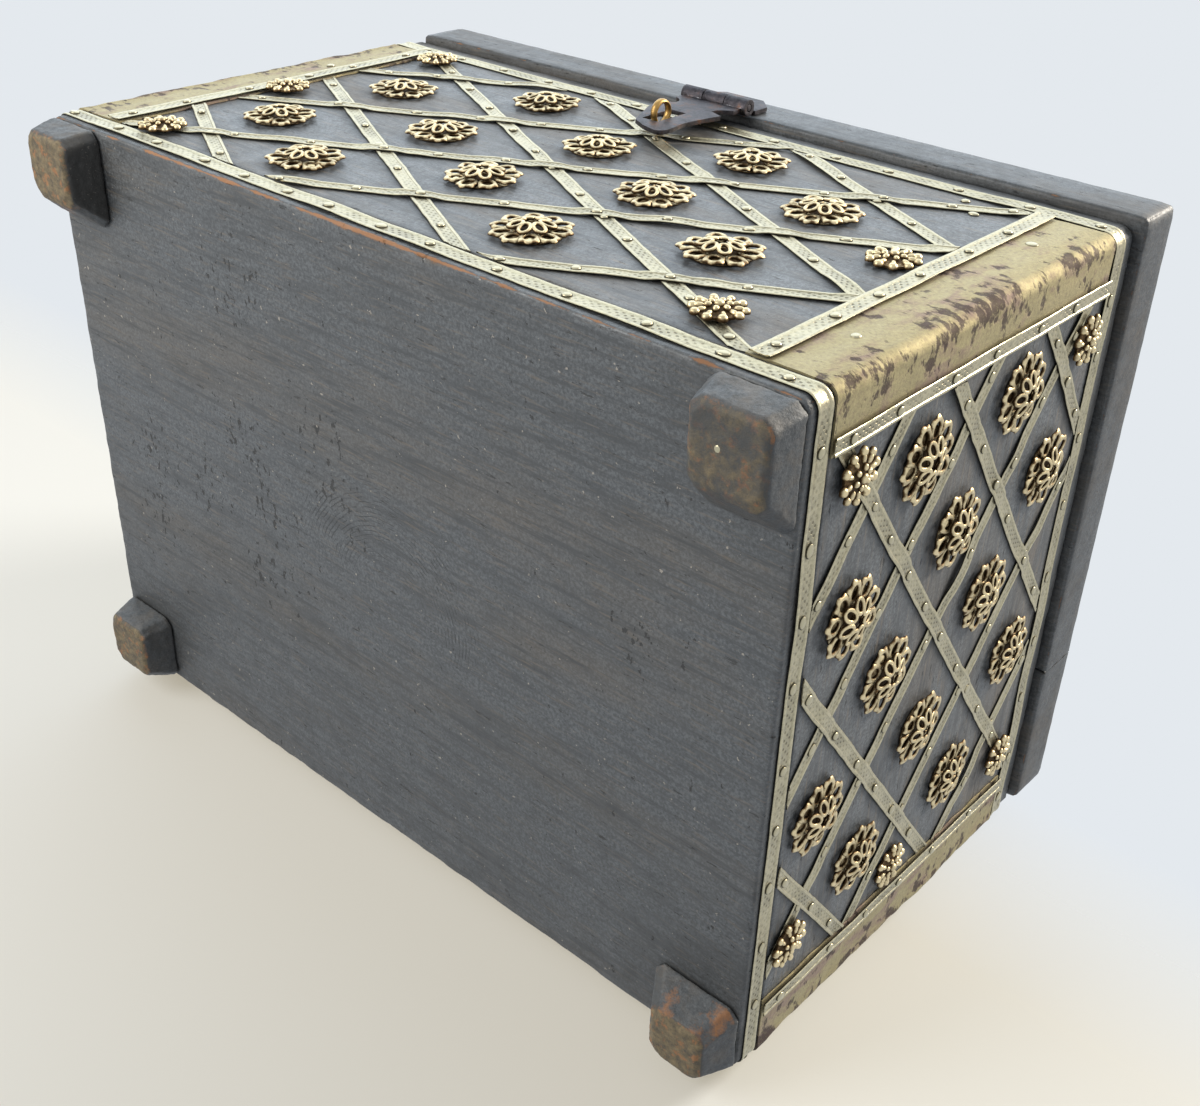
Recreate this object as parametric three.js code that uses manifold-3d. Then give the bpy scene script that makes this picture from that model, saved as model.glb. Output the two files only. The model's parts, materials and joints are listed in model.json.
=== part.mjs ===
// A lidded wooden box on four block feet, trimmed with brass bands, crossed strips and rosettes.
// Millimetres. +Z is up, the front faces -Y and the length runs along X.
// The origin is on the ground, under the middle of the whole box.

import * as THREE from 'three';
import { mergeVertices } from 'three/addons/utils/BufferGeometryUtils.js';
import Module from 'manifold-3d';

const { clamp } = THREE.MathUtils;
const wasm = await Module();
wasm.setup();

// Driving dimensions of the carcass
const bodyLength = 305;
const bodyDepth = 217;
const bodyHeight = 161.5;
const wallThickness = 12;
const bottomThickness = 10;
const rebateDepth = 6;
const cornerRadius = 4;
const easedEdge = 0.9;

// Driving dimensions of the lid, which lies a little forward and to the right of the body
const lidThickness = 19.5;
const lidForward = 2.8;
const lidRight = 3;
const rearLidBoard = 56.5;
const lidEdge = 1.6;
const lidCorner = 5;

// Driving dimensions of the feet. Each face leans in towards the ground by its own amount
const footHeight = 12.5;
const footChamfer = 3;
const footWear = 1.4;
const feet = {
  foot_front_left: {
    side: -1, end: -1, length: 28, width: 33, lean: { out: 3.5, in: 2.5, face: 1.5, back: 10 },
  },
  foot_front_right: {
    side: 1, end: -1, length: 27.5, width: 35, lean: { out: 1, in: 3.5, face: 1.5, back: 11 },
  },
  foot_rear_left: {
    side: -1, end: 1, length: 28, width: 28, lean: { out: 3.5, in: 3, face: 4.5, back: 2 },
  },
  foot_rear_right: {
    side: 1, end: 1, length: 31, width: 25, lean: { out: 4.5, in: 8, face: 1, back: 6 },
  },
};

// Driving dimensions of the brass bands, edge strips and corner plates
const sheetThickness = 0.8;
const bandWidth = 7.5;
const bottomBandRise = 2;
const topBandDrop = 5.7;
const bandReturn = 9;
const plateThickness = 0.6;
const plateReturn = 20;
const frontStripInset = 21.5;
const frontStripWidth = 7.5;
const endFrontStripInset = 14.5;
const endRearStripInset = 19;
const endStripWidth = 6;

// The crossed strips were laid by eye: each runs parallel to its field's diagonal, and lies above
// or below it by this share of the field's height
const crossedStripWidth = 6;
const frontRising = [0.745, 0.355, 0, -0.318, -0.673];
const frontFalling = [-0.781, -0.376, 0, 0.347, 0.68];
const endRising = [0.774, 0.412, 0.043, -0.369, -0.724];
const endFalling = [-0.753, -0.434, -0.072, 0.311, 0.695];

// Driving dimensions of the rosettes, and how far they sit from the middles of their diamonds
const rosetteRadius = 12;
const rosettePetals = 10;
const upperRadius = 7.4;
const upperPetals = 8;
const smallRosetteRadius = 8;
const smallRosettePetals = 9;
const petalFullness = 0.95;
const petalSweep = 0.6 * Math.PI;
const rosetteSheet = 0.9;
const nailHeadRadius = 2;
const smallHeadRadius = 3;
const nailHeadRise = 1.3;
const collarRadius = 1.6;
const frontDrift = new THREE.Vector2(-1.8, 0.4);
const endDrift = new THREE.Vector2(1.4, 1.5);

// Driving dimensions of the hinges
const hingeSpread = 190;
const hingeLength = 34;
const hingeLeafDepth = 9;
const hingeLeafThickness = 1.2;
const hingeBarrelRadius = 2.5;
const hingeBoreRadius = 1.4;

// Driving dimensions of the hasp and its ring staple. Heights are measured down from the barrel
const haspBarrelLength = 27.4;
const haspBarrelRadius = 2.8;
const haspBoreRadius = 1.4;
const haspSheet = 1.4;
const haspHalfWidth = 12.3;
const haspShoulder = 3.8;
const haspNeckCurve = 2;
const haspWaist = 7.5;
const haspWaistDrop = 12.9;
const haspRightEdge = [[13.2, 15], [11.6, 22], [10.4, 31], [11.4, 39.5], [9.4, 43.5], [2.5, 42]];
const haspLeftEdge = [[-3.7, 38.5], [-7.6, 30.5], [-11.4, 22], [-13, 15]];
const slotWidth = 6.6;
const slotTop = 21;
const slotBottom = 35.6;
const lidPlateHeight = 16;
const lidPlateHalfWidth = 14;
const lidPlateClip = 6;
const stapleDrop = 30;
const stapleStandOff = 7.3;
const stapleRadius = 4.5;
const stapleHole = 3.3;
const stapleWidth = 3.2;
const shankRadius = 1.4;
const shankDepth = 8;

// Clearances
const seatGap = 0.3;
const lidGap = 0.4;
const knuckleGap = 0.3;
const pinClearance = 0.25;
const barrelClearance = 0.4;
const overlap = 0.2;

// Sides that stand in for a circle, and steps along the rounded corners and curved edges
const barSides = 12;
const nailSides = 8;
const collarSides = 5;
const sheetCornerSteps = 4;
const outlineSteps = 2;
const petalSteps = 1;
const haspSteps = 3;

// How far a tool reaches past the face that it cuts, and how near two corners are the same one
const cutMargin = 1;
const mergeTolerance = 1e-5;

// Places that follow from the sizes above
const halfLength = bodyLength / 2;
const halfDepth = bodyDepth / 2;
const innerLength = halfLength - wallThickness;
const innerDepth = halfDepth - wallThickness;
const bodyTop = footHeight + bodyHeight;
const wallHeights = [footHeight + bottomThickness + seatGap, bodyTop];
const lidBottom = bodyTop + lidGap;
const lidLength = bodyLength;
const lidDepth = bodyDepth;
const lidBack = lidDepth - halfDepth - lidForward;
const bottomBand = [footHeight + bottomBandRise, footHeight + bottomBandRise + bandWidth];
const topBand = [bodyTop - topBandDrop - bandWidth, bodyTop - topBandDrop];
const plateHeights = [bottomBand[1] + seatGap, topBand[0] - seatGap];
const onWood = seatGap;
const onPlate = onWood + plateThickness + seatGap;
const onStrip = onWood + sheetThickness + seatGap;
const onEdgeStrip = onPlate + sheetThickness + seatGap;
const frontFlange = frontStripInset + frontStripWidth / 2;
const endFrontFlange = endFrontStripInset + endStripWidth / 2;
const endRearFlange = endRearStripInset + endStripWidth / 2;
const hingeStandOff = hingeBarrelRadius + barrelClearance;
const haspStandOff = lidForward + haspBarrelRadius + barrelClearance;

// Each field is the part of a face inside its edge strips and bands, across the face and up it
const frontField = field(frontFlange - halfLength, halfLength - frontFlange);
const endField = field(endFrontFlange - halfDepth, halfDepth - endRearFlange);

// Small rosettes: a share of the field's width and an inset, a share of its height and an inset
const frontSmallRosettes = [
  { name: 'lower_left', across: [0, 14.2], up: [0, 6.2], foot: onStrip, seat: onStrip },
  { name: 'upper_left', across: [0, 8.4], up: [1, -6.7], foot: onStrip, seat: onStrip },
  { name: 'lower_right', across: [1, -18.4], up: [0, 13.6], foot: onStrip, seat: onStrip },
  { name: 'left_edge', across: [0, 2.7], up: [0.475, 0], foot: onEdgeStrip, seat: onEdgeStrip },
  { name: 'right_edge', across: [1, -8.2], up: [0.55, 0], foot: onWood, seat: onStrip },
];
const endStripRosettes = [
  { across: [0, 8.2], up: [0, 11.8] },
  { across: [0, 10], up: [1, -8.2] },
  { across: [1, -14.3], up: [1, -8.2] },
  { across: [1, -17.8], up: [0, 8.2] },
];
const endEdgeRosette = { across: [1, -8.3], up: [0.471, 0] };
const lowerSheet = { petals: rosettePetals, radius: rosetteRadius };
const upperSheet = { petals: upperPetals, radius: upperRadius };

const darkWood = material(0x3d3936, 0.62, 0);
const footWood = material(0x5b4c3d, 0.75, 0);
const paleBrass = material(0xb7ab74, 0.38, 0.95);
const goldBrass = material(0xc0a063, 0.42, 0.9);
const plateBrass = material(0xa88a58, 0.45, 0.9);
const darkIron = material(0x57504c, 0.45, 0.85);

function material(color, roughness, metalness) {
  return new THREE.MeshStandardMaterial({ color, roughness, metalness });
}

function named(name, geometry, finish) {
  const mesh = new THREE.Mesh(geometry, finish);
  mesh.name = name;
  return mesh;
}

// Only places are kept, shared corners are merged, and faces with no area at a pole are left out
function merged(geometry) {
  const bare = geometry.clone();
  bare.deleteAttribute('normal');
  bare.deleteAttribute('uv');
  const whole = mergeVertices(bare, mergeTolerance);
  const kept = [];
  for (let i = 0; i < whole.index.count; i += 3) {
    const [a, b, c] = [0, 1, 2].map((corner) => whole.index.getX(i + corner));
    if (a !== b && b !== c && c !== a) kept.push(a, b, c);
  }
  return whole.setIndex(kept);
}

function toSolid(geometry) {
  const { attributes, index } = merged(geometry);
  return new wasm.Manifold(new wasm.Mesh({
    numProp: 3,
    vertProperties: new Float32Array(attributes.position.array),
    triVerts: new Uint32Array(index.array),
  }));
}

function toGeometry(solid) {
  const { vertProperties, triVerts } = solid.getMesh();
  const geometry = new THREE.BufferGeometry();
  geometry.setAttribute('position', new THREE.BufferAttribute(vertProperties, 3));
  geometry.setIndex(new THREE.BufferAttribute(triVerts, 1));
  geometry.computeVertexNormals();
  return geometry;
}

function join(...geometries) {
  return toGeometry(geometries.map(toSolid).reduce((whole, piece) => whole.add(piece)));
}

function cut(geometry, ...tools) {
  return toGeometry(tools.map(toSolid).reduce((whole, tool) => whole.subtract(tool), toSolid(geometry)));
}

function common(geometry, bounds) {
  return toGeometry(toSolid(geometry).intersect(toSolid(bounds)));
}

// The same piece for the other end of the box
function mirrored(geometry) {
  const copy = merged(geometry).scale(-1, 1, 1);
  copy.setIndex([...copy.index.array].reverse());
  copy.computeVertexNormals();
  return copy;
}

// An outline in X and Y, carried from one height to another, with its edges eased
function prism(outline, [low, high], ease = 0, curveSegments = outlineSteps) {
  return new THREE.ExtrudeGeometry(outline, {
    depth: high - low - 2 * ease,
    bevelEnabled: ease > 0,
    bevelThickness: ease,
    bevelSize: ease,
    bevelOffset: -ease,
    bevelSegments: 1,
    curveSegments,
  }).translate(0, 0, low + ease);
}

function points(...pairs) {
  return pairs.map(([x, y]) => new THREE.Vector2(x, y));
}

function rectangle([left, right], [front, back]) {
  return new THREE.Shape(points([left, front], [right, front], [right, back], [left, back]));
}

function roundedRectangle([left, right], [front, back], radius) {
  const shape = new THREE.Shape();
  shape.absarc(right - radius, front + radius, radius, -Math.PI / 2, 0);
  shape.absarc(right - radius, back - radius, radius, 0, Math.PI / 2);
  shape.absarc(left + radius, back - radius, radius, Math.PI / 2, Math.PI);
  shape.absarc(left + radius, front + radius, radius, Math.PI, 1.5 * Math.PI);
  return shape;
}

function block(xs, ys, zs) {
  return prism(rectangle(xs, ys), zs);
}

function circle(radius, sides, start = 0) {
  const curve = new THREE.EllipseCurve(0, 0, radius, radius, start, start + 2 * Math.PI);
  return curve.getPoints(sides).slice(0, sides);
}

function disc(radius, sides) {
  return new THREE.Shape(circle(radius, sides));
}

// A round bar or tube along X, centred on the origin. The hole's corners lie between the outer ones
function bar(radius, length, hole = 0) {
  const ring = disc(radius, barSides);
  if (hole > 0) ring.holes.push(new THREE.Path(circle(hole, barSides, Math.PI / barSides)));
  return prism(ring, [-length / 2, length / 2]).rotateY(Math.PI / 2);
}

// From a drawing of a face, with its width along X, its height along Y and +Z out of the wood
function ontoFront(geometry) {
  return geometry.rotateX(Math.PI / 2).translate(0, -halfDepth, 0);
}

function ontoRightEnd(geometry) {
  return geometry.rotateX(Math.PI / 2).rotateZ(Math.PI / 2).translate(halfLength, 0, 0);
}

// A convex solid through rings of as many points each, from the lowest ring to the highest
function loft(rings) {
  const count = rings[0].length;
  const top = (rings.length - 1) * count;
  const index = [];
  for (let i = 1; i < count - 1; i += 1) {
    index.push(0, i + 1, i, top, top + i, top + i + 1);
  }
  for (let start = 0; start < top; start += count) {
    for (let i = 0; i < count; i += 1) {
      const [here, next] = [start + i, start + ((i + 1) % count)];
      index.push(here, next, next + count, here, next + count, here + count);
    }
  }
  const geometry = new THREE.BufferGeometry().setFromPoints(rings.flat());
  geometry.setIndex(index);
  geometry.computeVertexNormals();
  return geometry;
}

function field(left, right) {
  const [bottom, top] = plateHeights;
  const [width, height] = [right - left, top - bottom];
  return { left: left + seatGap, right: right - seatGap, bottom, top, width, height };
}

function makeBottomBoard() {
  const outline = roundedRectangle([-halfLength, halfLength], [-halfDepth, halfDepth], cornerRadius);
  return prism(outline, [footHeight, footHeight + bottomThickness], easedEdge);
}

// The front board in plan. Each of its ends has a rebate that an end board sits in
function longWall() {
  const lip = rebateDepth - halfDepth;
  const inside = -innerDepth;
  const shoulder = innerLength - seatGap;
  const shape = new THREE.Shape();
  const [cornerX, cornerY] = [halfLength - cornerRadius, cornerRadius - halfDepth];
  shape.absarc(-cornerX, cornerY, cornerRadius, Math.PI, 1.5 * Math.PI);
  shape.absarc(cornerX, cornerY, cornerRadius, 1.5 * Math.PI, 2 * Math.PI);
  points([halfLength, lip], [shoulder, lip], [shoulder, inside], [-shoulder, inside], [-shoulder, lip],
    [-halfLength, lip]).forEach(({ x, y }) => shape.lineTo(x, y));
  return prism(shape, wallHeights);
}

function makeFrontPanel() {
  return cut(longWall(), stapleHoleTool(shankDepth + seatGap));
}

function makeBackPanel() {
  return cut(longWall().rotateZ(Math.PI), ...hingeRecesses(halfDepth, bodyTop, -1));
}

function makeEndPanel() {
  const side = halfDepth - rebateDepth - seatGap;
  const board = block([innerLength, halfLength], [-side, side], wallHeights);
  const rooted = { foot: -overlap, seat: onStrip };
  const rosettes = diamondCentres(endField, endRising, endFalling, endDrift).map(({ x, y }) => (
    ontoRightEnd(rosette(rooted, nailHeadRadius, lowerSheet).translate(x, y, 0))
  ));
  const edgeRosette = ontoRightEnd(smallRosette(rooted).translate(...spot(endField, endEdgeRosette)));
  return join(board, ...rosettes, edgeRosette);
}

// A foot's outline at one height: how much of its lean is used up, and how far its edges are worn
function footRing({ side, end, length, width, lean }, share, worn, height) {
  const spanX = [halfLength - share * lean.out - worn, halfLength - length + share * lean.in + worn];
  const spanY = [halfDepth - share * lean.face - worn, halfDepth - width + share * lean.back + worn];
  const [left, right] = spanX.map((x) => side * x).sort((a, b) => a - b);
  const [front, back] = spanY.map((y) => end * y).sort((a, b) => a - b);
  const c = footChamfer;
  return [
    [left + c, front], [right - c, front], [right, front + c], [right, back - c],
    [right - c, back], [left + c, back], [left, back - c], [left, front + c],
  ].map(([x, y]) => new THREE.Vector3(x, y, height));
}

function makeFoot(foot) {
  return loft([
    footRing(foot, 1, footWear, 0),
    footRing(foot, 1 - footWear / footHeight, 0, footWear),
    footRing(foot, 0, 0, footHeight - seatGap),
  ]);
}

// The lid before its two boards are told apart
function lidBlank() {
  const xs = [lidRight - lidLength / 2, lidRight + lidLength / 2];
  const outline = roundedRectangle(xs, [lidBack - lidDepth, lidBack], lidCorner);
  return prism(outline, [lidBottom, lidBottom + lidThickness], lidEdge);
}

function lidSlice(ys) {
  const heights = [lidBottom - cutMargin, lidBottom + lidThickness + cutMargin];
  return common(lidBlank(), block([-lidLength, lidLength], ys, heights));
}

function makeLidFrontBoard() {
  return lidSlice([lidBack - lidDepth - cutMargin, lidBack - rearLidBoard - seatGap]);
}

function makeLidRearBoard() {
  const board = lidSlice([lidBack - rearLidBoard, lidBack + cutMargin]);
  return cut(board, ...hingeRecesses(lidBack, lidBottom, 1));
}

// Points at a distance off the wood, round one rounded corner of the box. A corner is its two signs
function cornerArc([sideX, sideY], standOff) {
  const start = { '-1,1': 0.5, '-1,-1': 1, '1,-1': 1.5, '1,1': 0 }[`${sideX},${sideY}`] * Math.PI;
  const radius = cornerRadius + standOff;
  const [x, y] = [sideX * (halfLength - cornerRadius), sideY * (halfDepth - cornerRadius)];
  return new THREE.EllipseCurve(x, y, radius, radius, start, start + Math.PI / 2).getPoints(sheetCornerSteps);
}

// A point off the front or back face, and one off an end face
function offLongFace(x, sideY) {
  return (standOff) => new THREE.Vector2(x, sideY * (halfDepth + standOff));
}

function offEndFace(sideX, y) {
  return (standOff) => new THREE.Vector2(sideX * (halfLength + standOff), y);
}

// Sheet bent round corners of the box, standing on edge. Its ends and corners run anticlockwise
function bentSheet(first, corners, last, thickness, heights) {
  const path = (standOff) => [
    first(standOff),
    ...corners.flatMap((corner) => cornerArc(corner, standOff)),
    last(standOff),
  ];
  const outline = [...path(onWood + thickness), ...path(onWood).reverse()];
  return prism(new THREE.Shape(outline), heights);
}

function makeBand(heights) {
  const first = offLongFace(bandReturn - halfLength, 1);
  const last = offLongFace(halfLength - bandReturn, 1);
  return bentSheet(first, [[-1, 1], [-1, -1], [1, -1], [1, 1]], last, sheetThickness, heights);
}

function makeFrontPlate(sideX) {
  const onEnd = offEndFace(sideX, endFrontFlange - halfDepth);
  const onFront = offLongFace(sideX * (halfLength - frontFlange), -1);
  const ends = sideX < 0 ? [onEnd, onFront] : [onFront, onEnd];
  return bentSheet(ends[0], [[sideX, -1]], ends[1], plateThickness, plateHeights);
}

function makeRearPlate(sideX) {
  const onEnd = offEndFace(sideX, halfDepth - endRearFlange);
  const onBack = offLongFace(sideX * (halfLength - plateReturn), 1);
  const ends = sideX < 0 ? [onBack, onEnd] : [onEnd, onBack];
  return bentSheet(ends[0], [[sideX, 1]], ends[1], plateThickness, plateHeights);
}

function edgeStrip(across, width) {
  return block([across - width / 2, across + width / 2], plateHeights, [onPlate, onPlate + sheetThickness]);
}

function makeFrontEdgeStrip(side) {
  return ontoFront(edgeStrip(side * (halfLength - frontStripInset), frontStripWidth));
}

// A field's diagonals as one sheet of crossed strips, cut off at the field's edges
function crossedStrips({ left, right, bottom, top, width, height }, rising, falling) {
  const middle = points([(left + right) / 2, (bottom + top) / 2])[0];
  const strip = (share, direction) => toSolid(
    new THREE.BoxGeometry(width + height, crossedStripWidth, sheetThickness)
      .rotateZ(direction * Math.atan2(height, width))
      .translate(middle.x, middle.y + share * height, onWood + sheetThickness / 2),
  );
  const strips = [...rising.map((share) => strip(share, 1)), ...falling.map((share) => strip(share, -1))];
  const bounds = toSolid(block([left, right], [bottom, top], [0, onEdgeStrip]));
  return toGeometry(strips.reduce((whole, one) => whole.add(one)).intersect(bounds));
}

function makeFrontStrips() {
  return cut(ontoFront(crossedStrips(frontField, frontRising, frontFalling)), stapleHoleTool(shankDepth));
}

// The small rosettes at the corners of the end are carried by its crossed strips
function makeEndStrips() {
  const strips = crossedStrips(endField, endRising, endFalling);
  const stripTop = onWood + sheetThickness - overlap;
  const rosettes = endStripRosettes.map((place) => (
    smallRosette({ foot: stripTop, seat: stripTop }).translate(...spot(endField, place))
  ));
  return ontoRightEnd(join(strips, ...rosettes));
}

function spot({ left, right, bottom, top }, { across, up }) {
  return [left + across[0] * (right - left) + across[1], bottom + up[0] * (top - bottom) + up[1], 0];
}

// The middles of the whole diamonds between the crossed strips, moved by the drift
function diamondCentres({ left, right, bottom, top, width, height }, rising, falling, drift) {
  const midways = (shares) => shares.slice(1).map((share, i) => (share + shares[i]) / 2);
  const isOuter = (shares, i) => i === 0 || i === shares.length - 2;
  const isCorner = (i, j) => isOuter(rising, i) && isOuter(falling, j);
  const inset = rosetteRadius + seatGap;
  const centres = midways(rising).flatMap((r, i) => midways(falling).map((f, j) => !isCorner(i, j) && points([
    (left + right + (f - r) * width) / 2,
    (bottom + top + (f + r) * height) / 2,
  ])[0].add(drift)));
  const low = new THREE.Vector2(left + inset, bottom + inset);
  const high = new THREE.Vector2(right - inset, top - inset);
  return centres.filter(Boolean).map((centre) => centre.clamp(low, high));
}

// A flower outline. Its round petals all but touch, and each is drawn just past its widest
function flower(petals, radius) {
  const share = Math.sin(Math.PI / petals);
  const petalRadius = (petalFullness * radius * share) / (1 + share);
  const reach = radius - petalRadius;
  const shape = new THREE.Shape();
  for (let i = 0; i < petals; i += 1) {
    const angle = (2 * Math.PI * i) / petals;
    shape.absarc(
      reach * Math.cos(angle), reach * Math.sin(angle), petalRadius, angle - petalSweep, angle + petalSweep,
    );
  }
  return shape;
}

function nailHead(radius, low, high) {
  return prism(disc(radius, nailSides), [low, high], nailHeadRise / 2);
}

// Sheets of petals one on another, the lowest with its back at its seat. A nail with a domed head
// holds them, and a collar round it stands on whatever carries the rosette
function rosette({ foot, seat }, headRadius, ...sheets) {
  const step = rosetteSheet - overlap;
  const top = seat + (sheets.length - 1) * step + rosetteSheet;
  return join(
    ...sheets.map(({ petals, radius }, i) => (
      prism(flower(petals, radius), [seat + i * step, seat + i * step + rosetteSheet], 0, petalSteps)
    )),
    prism(disc(collarRadius, collarSides), [foot, seat + overlap]),
    nailHead(headRadius, top - nailHeadRise / 2, top + nailHeadRise),
  );
}

function smallRosette(place) {
  return rosette(place, smallHeadRadius, { petals: smallRosettePetals, radius: smallRosetteRadius });
}

function frontRosettes() {
  const standing = { foot: onWood, seat: onStrip };
  const large = diamondCentres(frontField, frontRising, frontFalling, frontDrift).map(({ x, y }, i) => {
    const shape = rosette(standing, nailHeadRadius, lowerSheet, upperSheet).translate(x, y, 0);
    return named(`front_rosette_${i + 1}`, ontoFront(shape), goldBrass);
  });
  const small = frontSmallRosettes.map((place) => {
    const shape = smallRosette(place).translate(...spot(frontField, place));
    return named(`front_small_rosette_${place.name}`, ontoFront(shape), goldBrass);
  });
  return [...large, ...small];
}

// The way that the staple's shank takes through the strips and into the front board
function stapleHoleTool(depth) {
  const hole = prism(disc(shankRadius + seatGap, barSides), [-depth, onEdgeStrip]);
  return ontoFront(hole.translate(0, bodyTop - stapleDrop, 0));
}

// A ring that stands out through the hasp's slot, on a shank driven into the front board
function makeStaple() {
  const ring = bar(stapleRadius, stapleWidth, stapleHole).translate(0, -stapleStandOff, 0);
  const shankEnd = stapleStandOff - (stapleRadius + stapleHole) / 2;
  const shank = prism(disc(shankRadius, barSides), [-shankDepth, shankEnd]).rotateX(Math.PI / 2);
  return join(ring, shank).translate(0, -halfDepth, bodyTop - stapleDrop);
}

// Knuckles take turns along a barrel of three. The middle one is number 1
function knuckle(number, barrelLength, radius, bore) {
  const length = (barrelLength - 2 * knuckleGap) / 3;
  return bar(radius, length, bore).translate((number - 1) * (length + knuckleGap), 0, 0);
}

function knuckleSpan(number, barrelLength) {
  const length = (barrelLength - 2 * knuckleGap) / 3;
  const middle = (number - 1) * (length + knuckleGap);
  return [middle - length / 2, middle + length / 2];
}

// A leaf of a butt hinge, with its barrel along X through the origin and its plate towards -Y
function hingeLeaf(numbers, plateEdge, heights) {
  const halfPlate = hingeLength / 2;
  const plate = block([-halfPlate, halfPlate], [-plateEdge - hingeLeafDepth, -plateEdge], heights);
  const tongueEnd = hingeBoreRadius + overlap;
  const tongues = numbers.map((number) => (
    block(knuckleSpan(number, hingeLength), [-plateEdge - cutMargin, -tongueEnd], heights)
  ));
  const tubes = numbers.map((number) => knuckle(number, hingeLength, hingeBarrelRadius, hingeBoreRadius));
  return join(plate, ...tongues, ...tubes);
}

function boxHingeLeaf() {
  return hingeLeaf([0, 2], hingeStandOff, [-lidGap / 2 - hingeLeafThickness, -lidGap / 2]);
}

function lidHingeLeaf() {
  const plateEdge = hingeStandOff + halfDepth - lidBack;
  return hingeLeaf([1], plateEdge, [lidGap / 2, lidGap / 2 + hingeLeafThickness]);
}

// Shallow beds for the hinge leaves, sunk up or down from a joint face into a board's rear edge
function hingeRecesses(edge, joint, direction) {
  const deep = joint + direction * (hingeLeafThickness + seatGap);
  const heights = [deep, joint - direction * cutMargin].sort((a, b) => a - b);
  const reach = hingeLength / 2 + seatGap;
  const ys = [edge - hingeLeafDepth - seatGap, edge + cutMargin];
  return [-hingeSpread / 2, hingeSpread / 2].map((x) => block([x - reach, x + reach], ys, heights));
}

// The hasp's own frame has X along its barrel, Y up the box and Z out of it
function haspDrawing(geometry) {
  return geometry.rotateX(Math.PI / 2);
}

// Square shoulders under the knuckles, a waist, two pointed ears and a worn, one-sided tongue
function haspOutline() {
  const top = -haspBarrelRadius - barrelClearance;
  const shoulder = top - haspShoulder;
  const [rightEar, ...rightEdge] = haspRightEdge.map(([across, drop]) => [across, -drop]);
  const [nose, ...leftEdge] = haspLeftEdge.map(([across, drop]) => [across, -drop]);
  const shape = new THREE.Shape(points([haspHalfWidth, top], [haspHalfWidth, shoulder]));
  shape.quadraticCurveTo(haspWaist, shoulder - haspNeckCurve, haspWaist, -haspWaistDrop);
  shape.lineTo(...rightEar);
  shape.splineThru(points(...rightEdge));
  shape.lineTo(...nose);
  shape.splineThru(points(...leftEdge));
  shape.lineTo(-haspWaist, -haspWaistDrop);
  shape.quadraticCurveTo(-haspWaist, shoulder - haspNeckCurve, -haspHalfWidth, shoulder);
  shape.lineTo(-haspHalfWidth, top);
  return shape;
}

function slotOutline() {
  return new THREE.Path(rectangle([-slotWidth / 2, slotWidth / 2], [-slotBottom, -slotTop]).getPoints());
}

// The hinged leaf hangs behind its barrel's axis and carries the two outer knuckles
function makeHaspLeaf() {
  const outline = haspOutline();
  outline.holes.push(slotOutline());
  const depths = [-haspSheet, 0];
  const knuckles = [0, 2];
  const tongues = knuckles.map((number) => block(
    knuckleSpan(number, haspBarrelLength).map((x) => clamp(x, -haspHalfWidth, haspHalfWidth)),
    [-haspBarrelRadius - cutMargin, -haspBoreRadius - overlap],
    depths,
  ));
  const tubes = knuckles.map((n) => knuckle(n, haspBarrelLength, haspBarrelRadius, haspBoreRadius));
  return join(haspDrawing(prism(outline, depths, 0, haspSteps)), ...tongues.map(haspDrawing), ...tubes);
}

// The fixed plate on the lid's front edge carries the middle knuckle
function makeHaspPlate() {
  const back = lidForward + seatGap - haspStandOff;
  const depths = [back, back + haspSheet];
  const lower = haspBarrelRadius + barrelClearance;
  const clip = lidPlateHalfWidth - lidPlateClip;
  const outline = new THREE.Shape(points(
    [-lidPlateHalfWidth, lower], [lidPlateHalfWidth, lower],
    [lidPlateHalfWidth, lidPlateHeight - lidPlateClip], [clip, lidPlateHeight],
    [-clip, lidPlateHeight], [-lidPlateHalfWidth, lidPlateHeight - lidPlateClip],
  ));
  const tongue = block(knuckleSpan(1, haspBarrelLength), [0, lower + cutMargin], depths);
  const tube = knuckle(1, haspBarrelLength, haspBarrelRadius, haspBoreRadius);
  return join(haspDrawing(prism(outline, depths)), haspDrawing(tongue), tube);
}

function carcass() {
  const rightEnd = makeEndPanel();
  return [
    named('bottom_board', makeBottomBoard(), darkWood),
    named('front_panel', makeFrontPanel(), darkWood),
    named('back_panel', makeBackPanel(), darkWood),
    named('right_end_panel', rightEnd, darkWood),
    named('left_end_panel', mirrored(rightEnd), darkWood),
    ...Object.entries(feet).map(([name, foot]) => named(name, makeFoot(foot), footWood)),
  ];
}

function brassTrim() {
  const endStrips = makeEndStrips();
  const frontOnEnd = ontoRightEnd(edgeStrip(endFrontStripInset - halfDepth, endStripWidth));
  const rearOnEnd = ontoRightEnd(edgeStrip(halfDepth - endRearStripInset, endStripWidth));
  return [
    named('bottom_band', makeBand(bottomBand), paleBrass),
    named('top_band', makeBand(topBand), paleBrass),
    named('corner_plate_front_left', makeFrontPlate(-1), plateBrass),
    named('corner_plate_front_right', makeFrontPlate(1), plateBrass),
    named('corner_plate_rear_left', makeRearPlate(-1), plateBrass),
    named('corner_plate_rear_right', makeRearPlate(1), plateBrass),
    named('edge_strip_front_left', makeFrontEdgeStrip(-1), paleBrass),
    named('edge_strip_front_right', makeFrontEdgeStrip(1), paleBrass),
    named('edge_strip_right_end_front', frontOnEnd, paleBrass),
    named('edge_strip_right_end_rear', rearOnEnd, paleBrass),
    named('edge_strip_left_end_front', mirrored(frontOnEnd), paleBrass),
    named('edge_strip_left_end_rear', mirrored(rearOnEnd), paleBrass),
    named('crossed_strips_front', makeFrontStrips(), paleBrass),
    named('crossed_strips_right_end', endStrips, paleBrass),
    named('crossed_strips_left_end', mirrored(endStrips), paleBrass),
    ...frontRosettes(),
  ];
}

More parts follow.
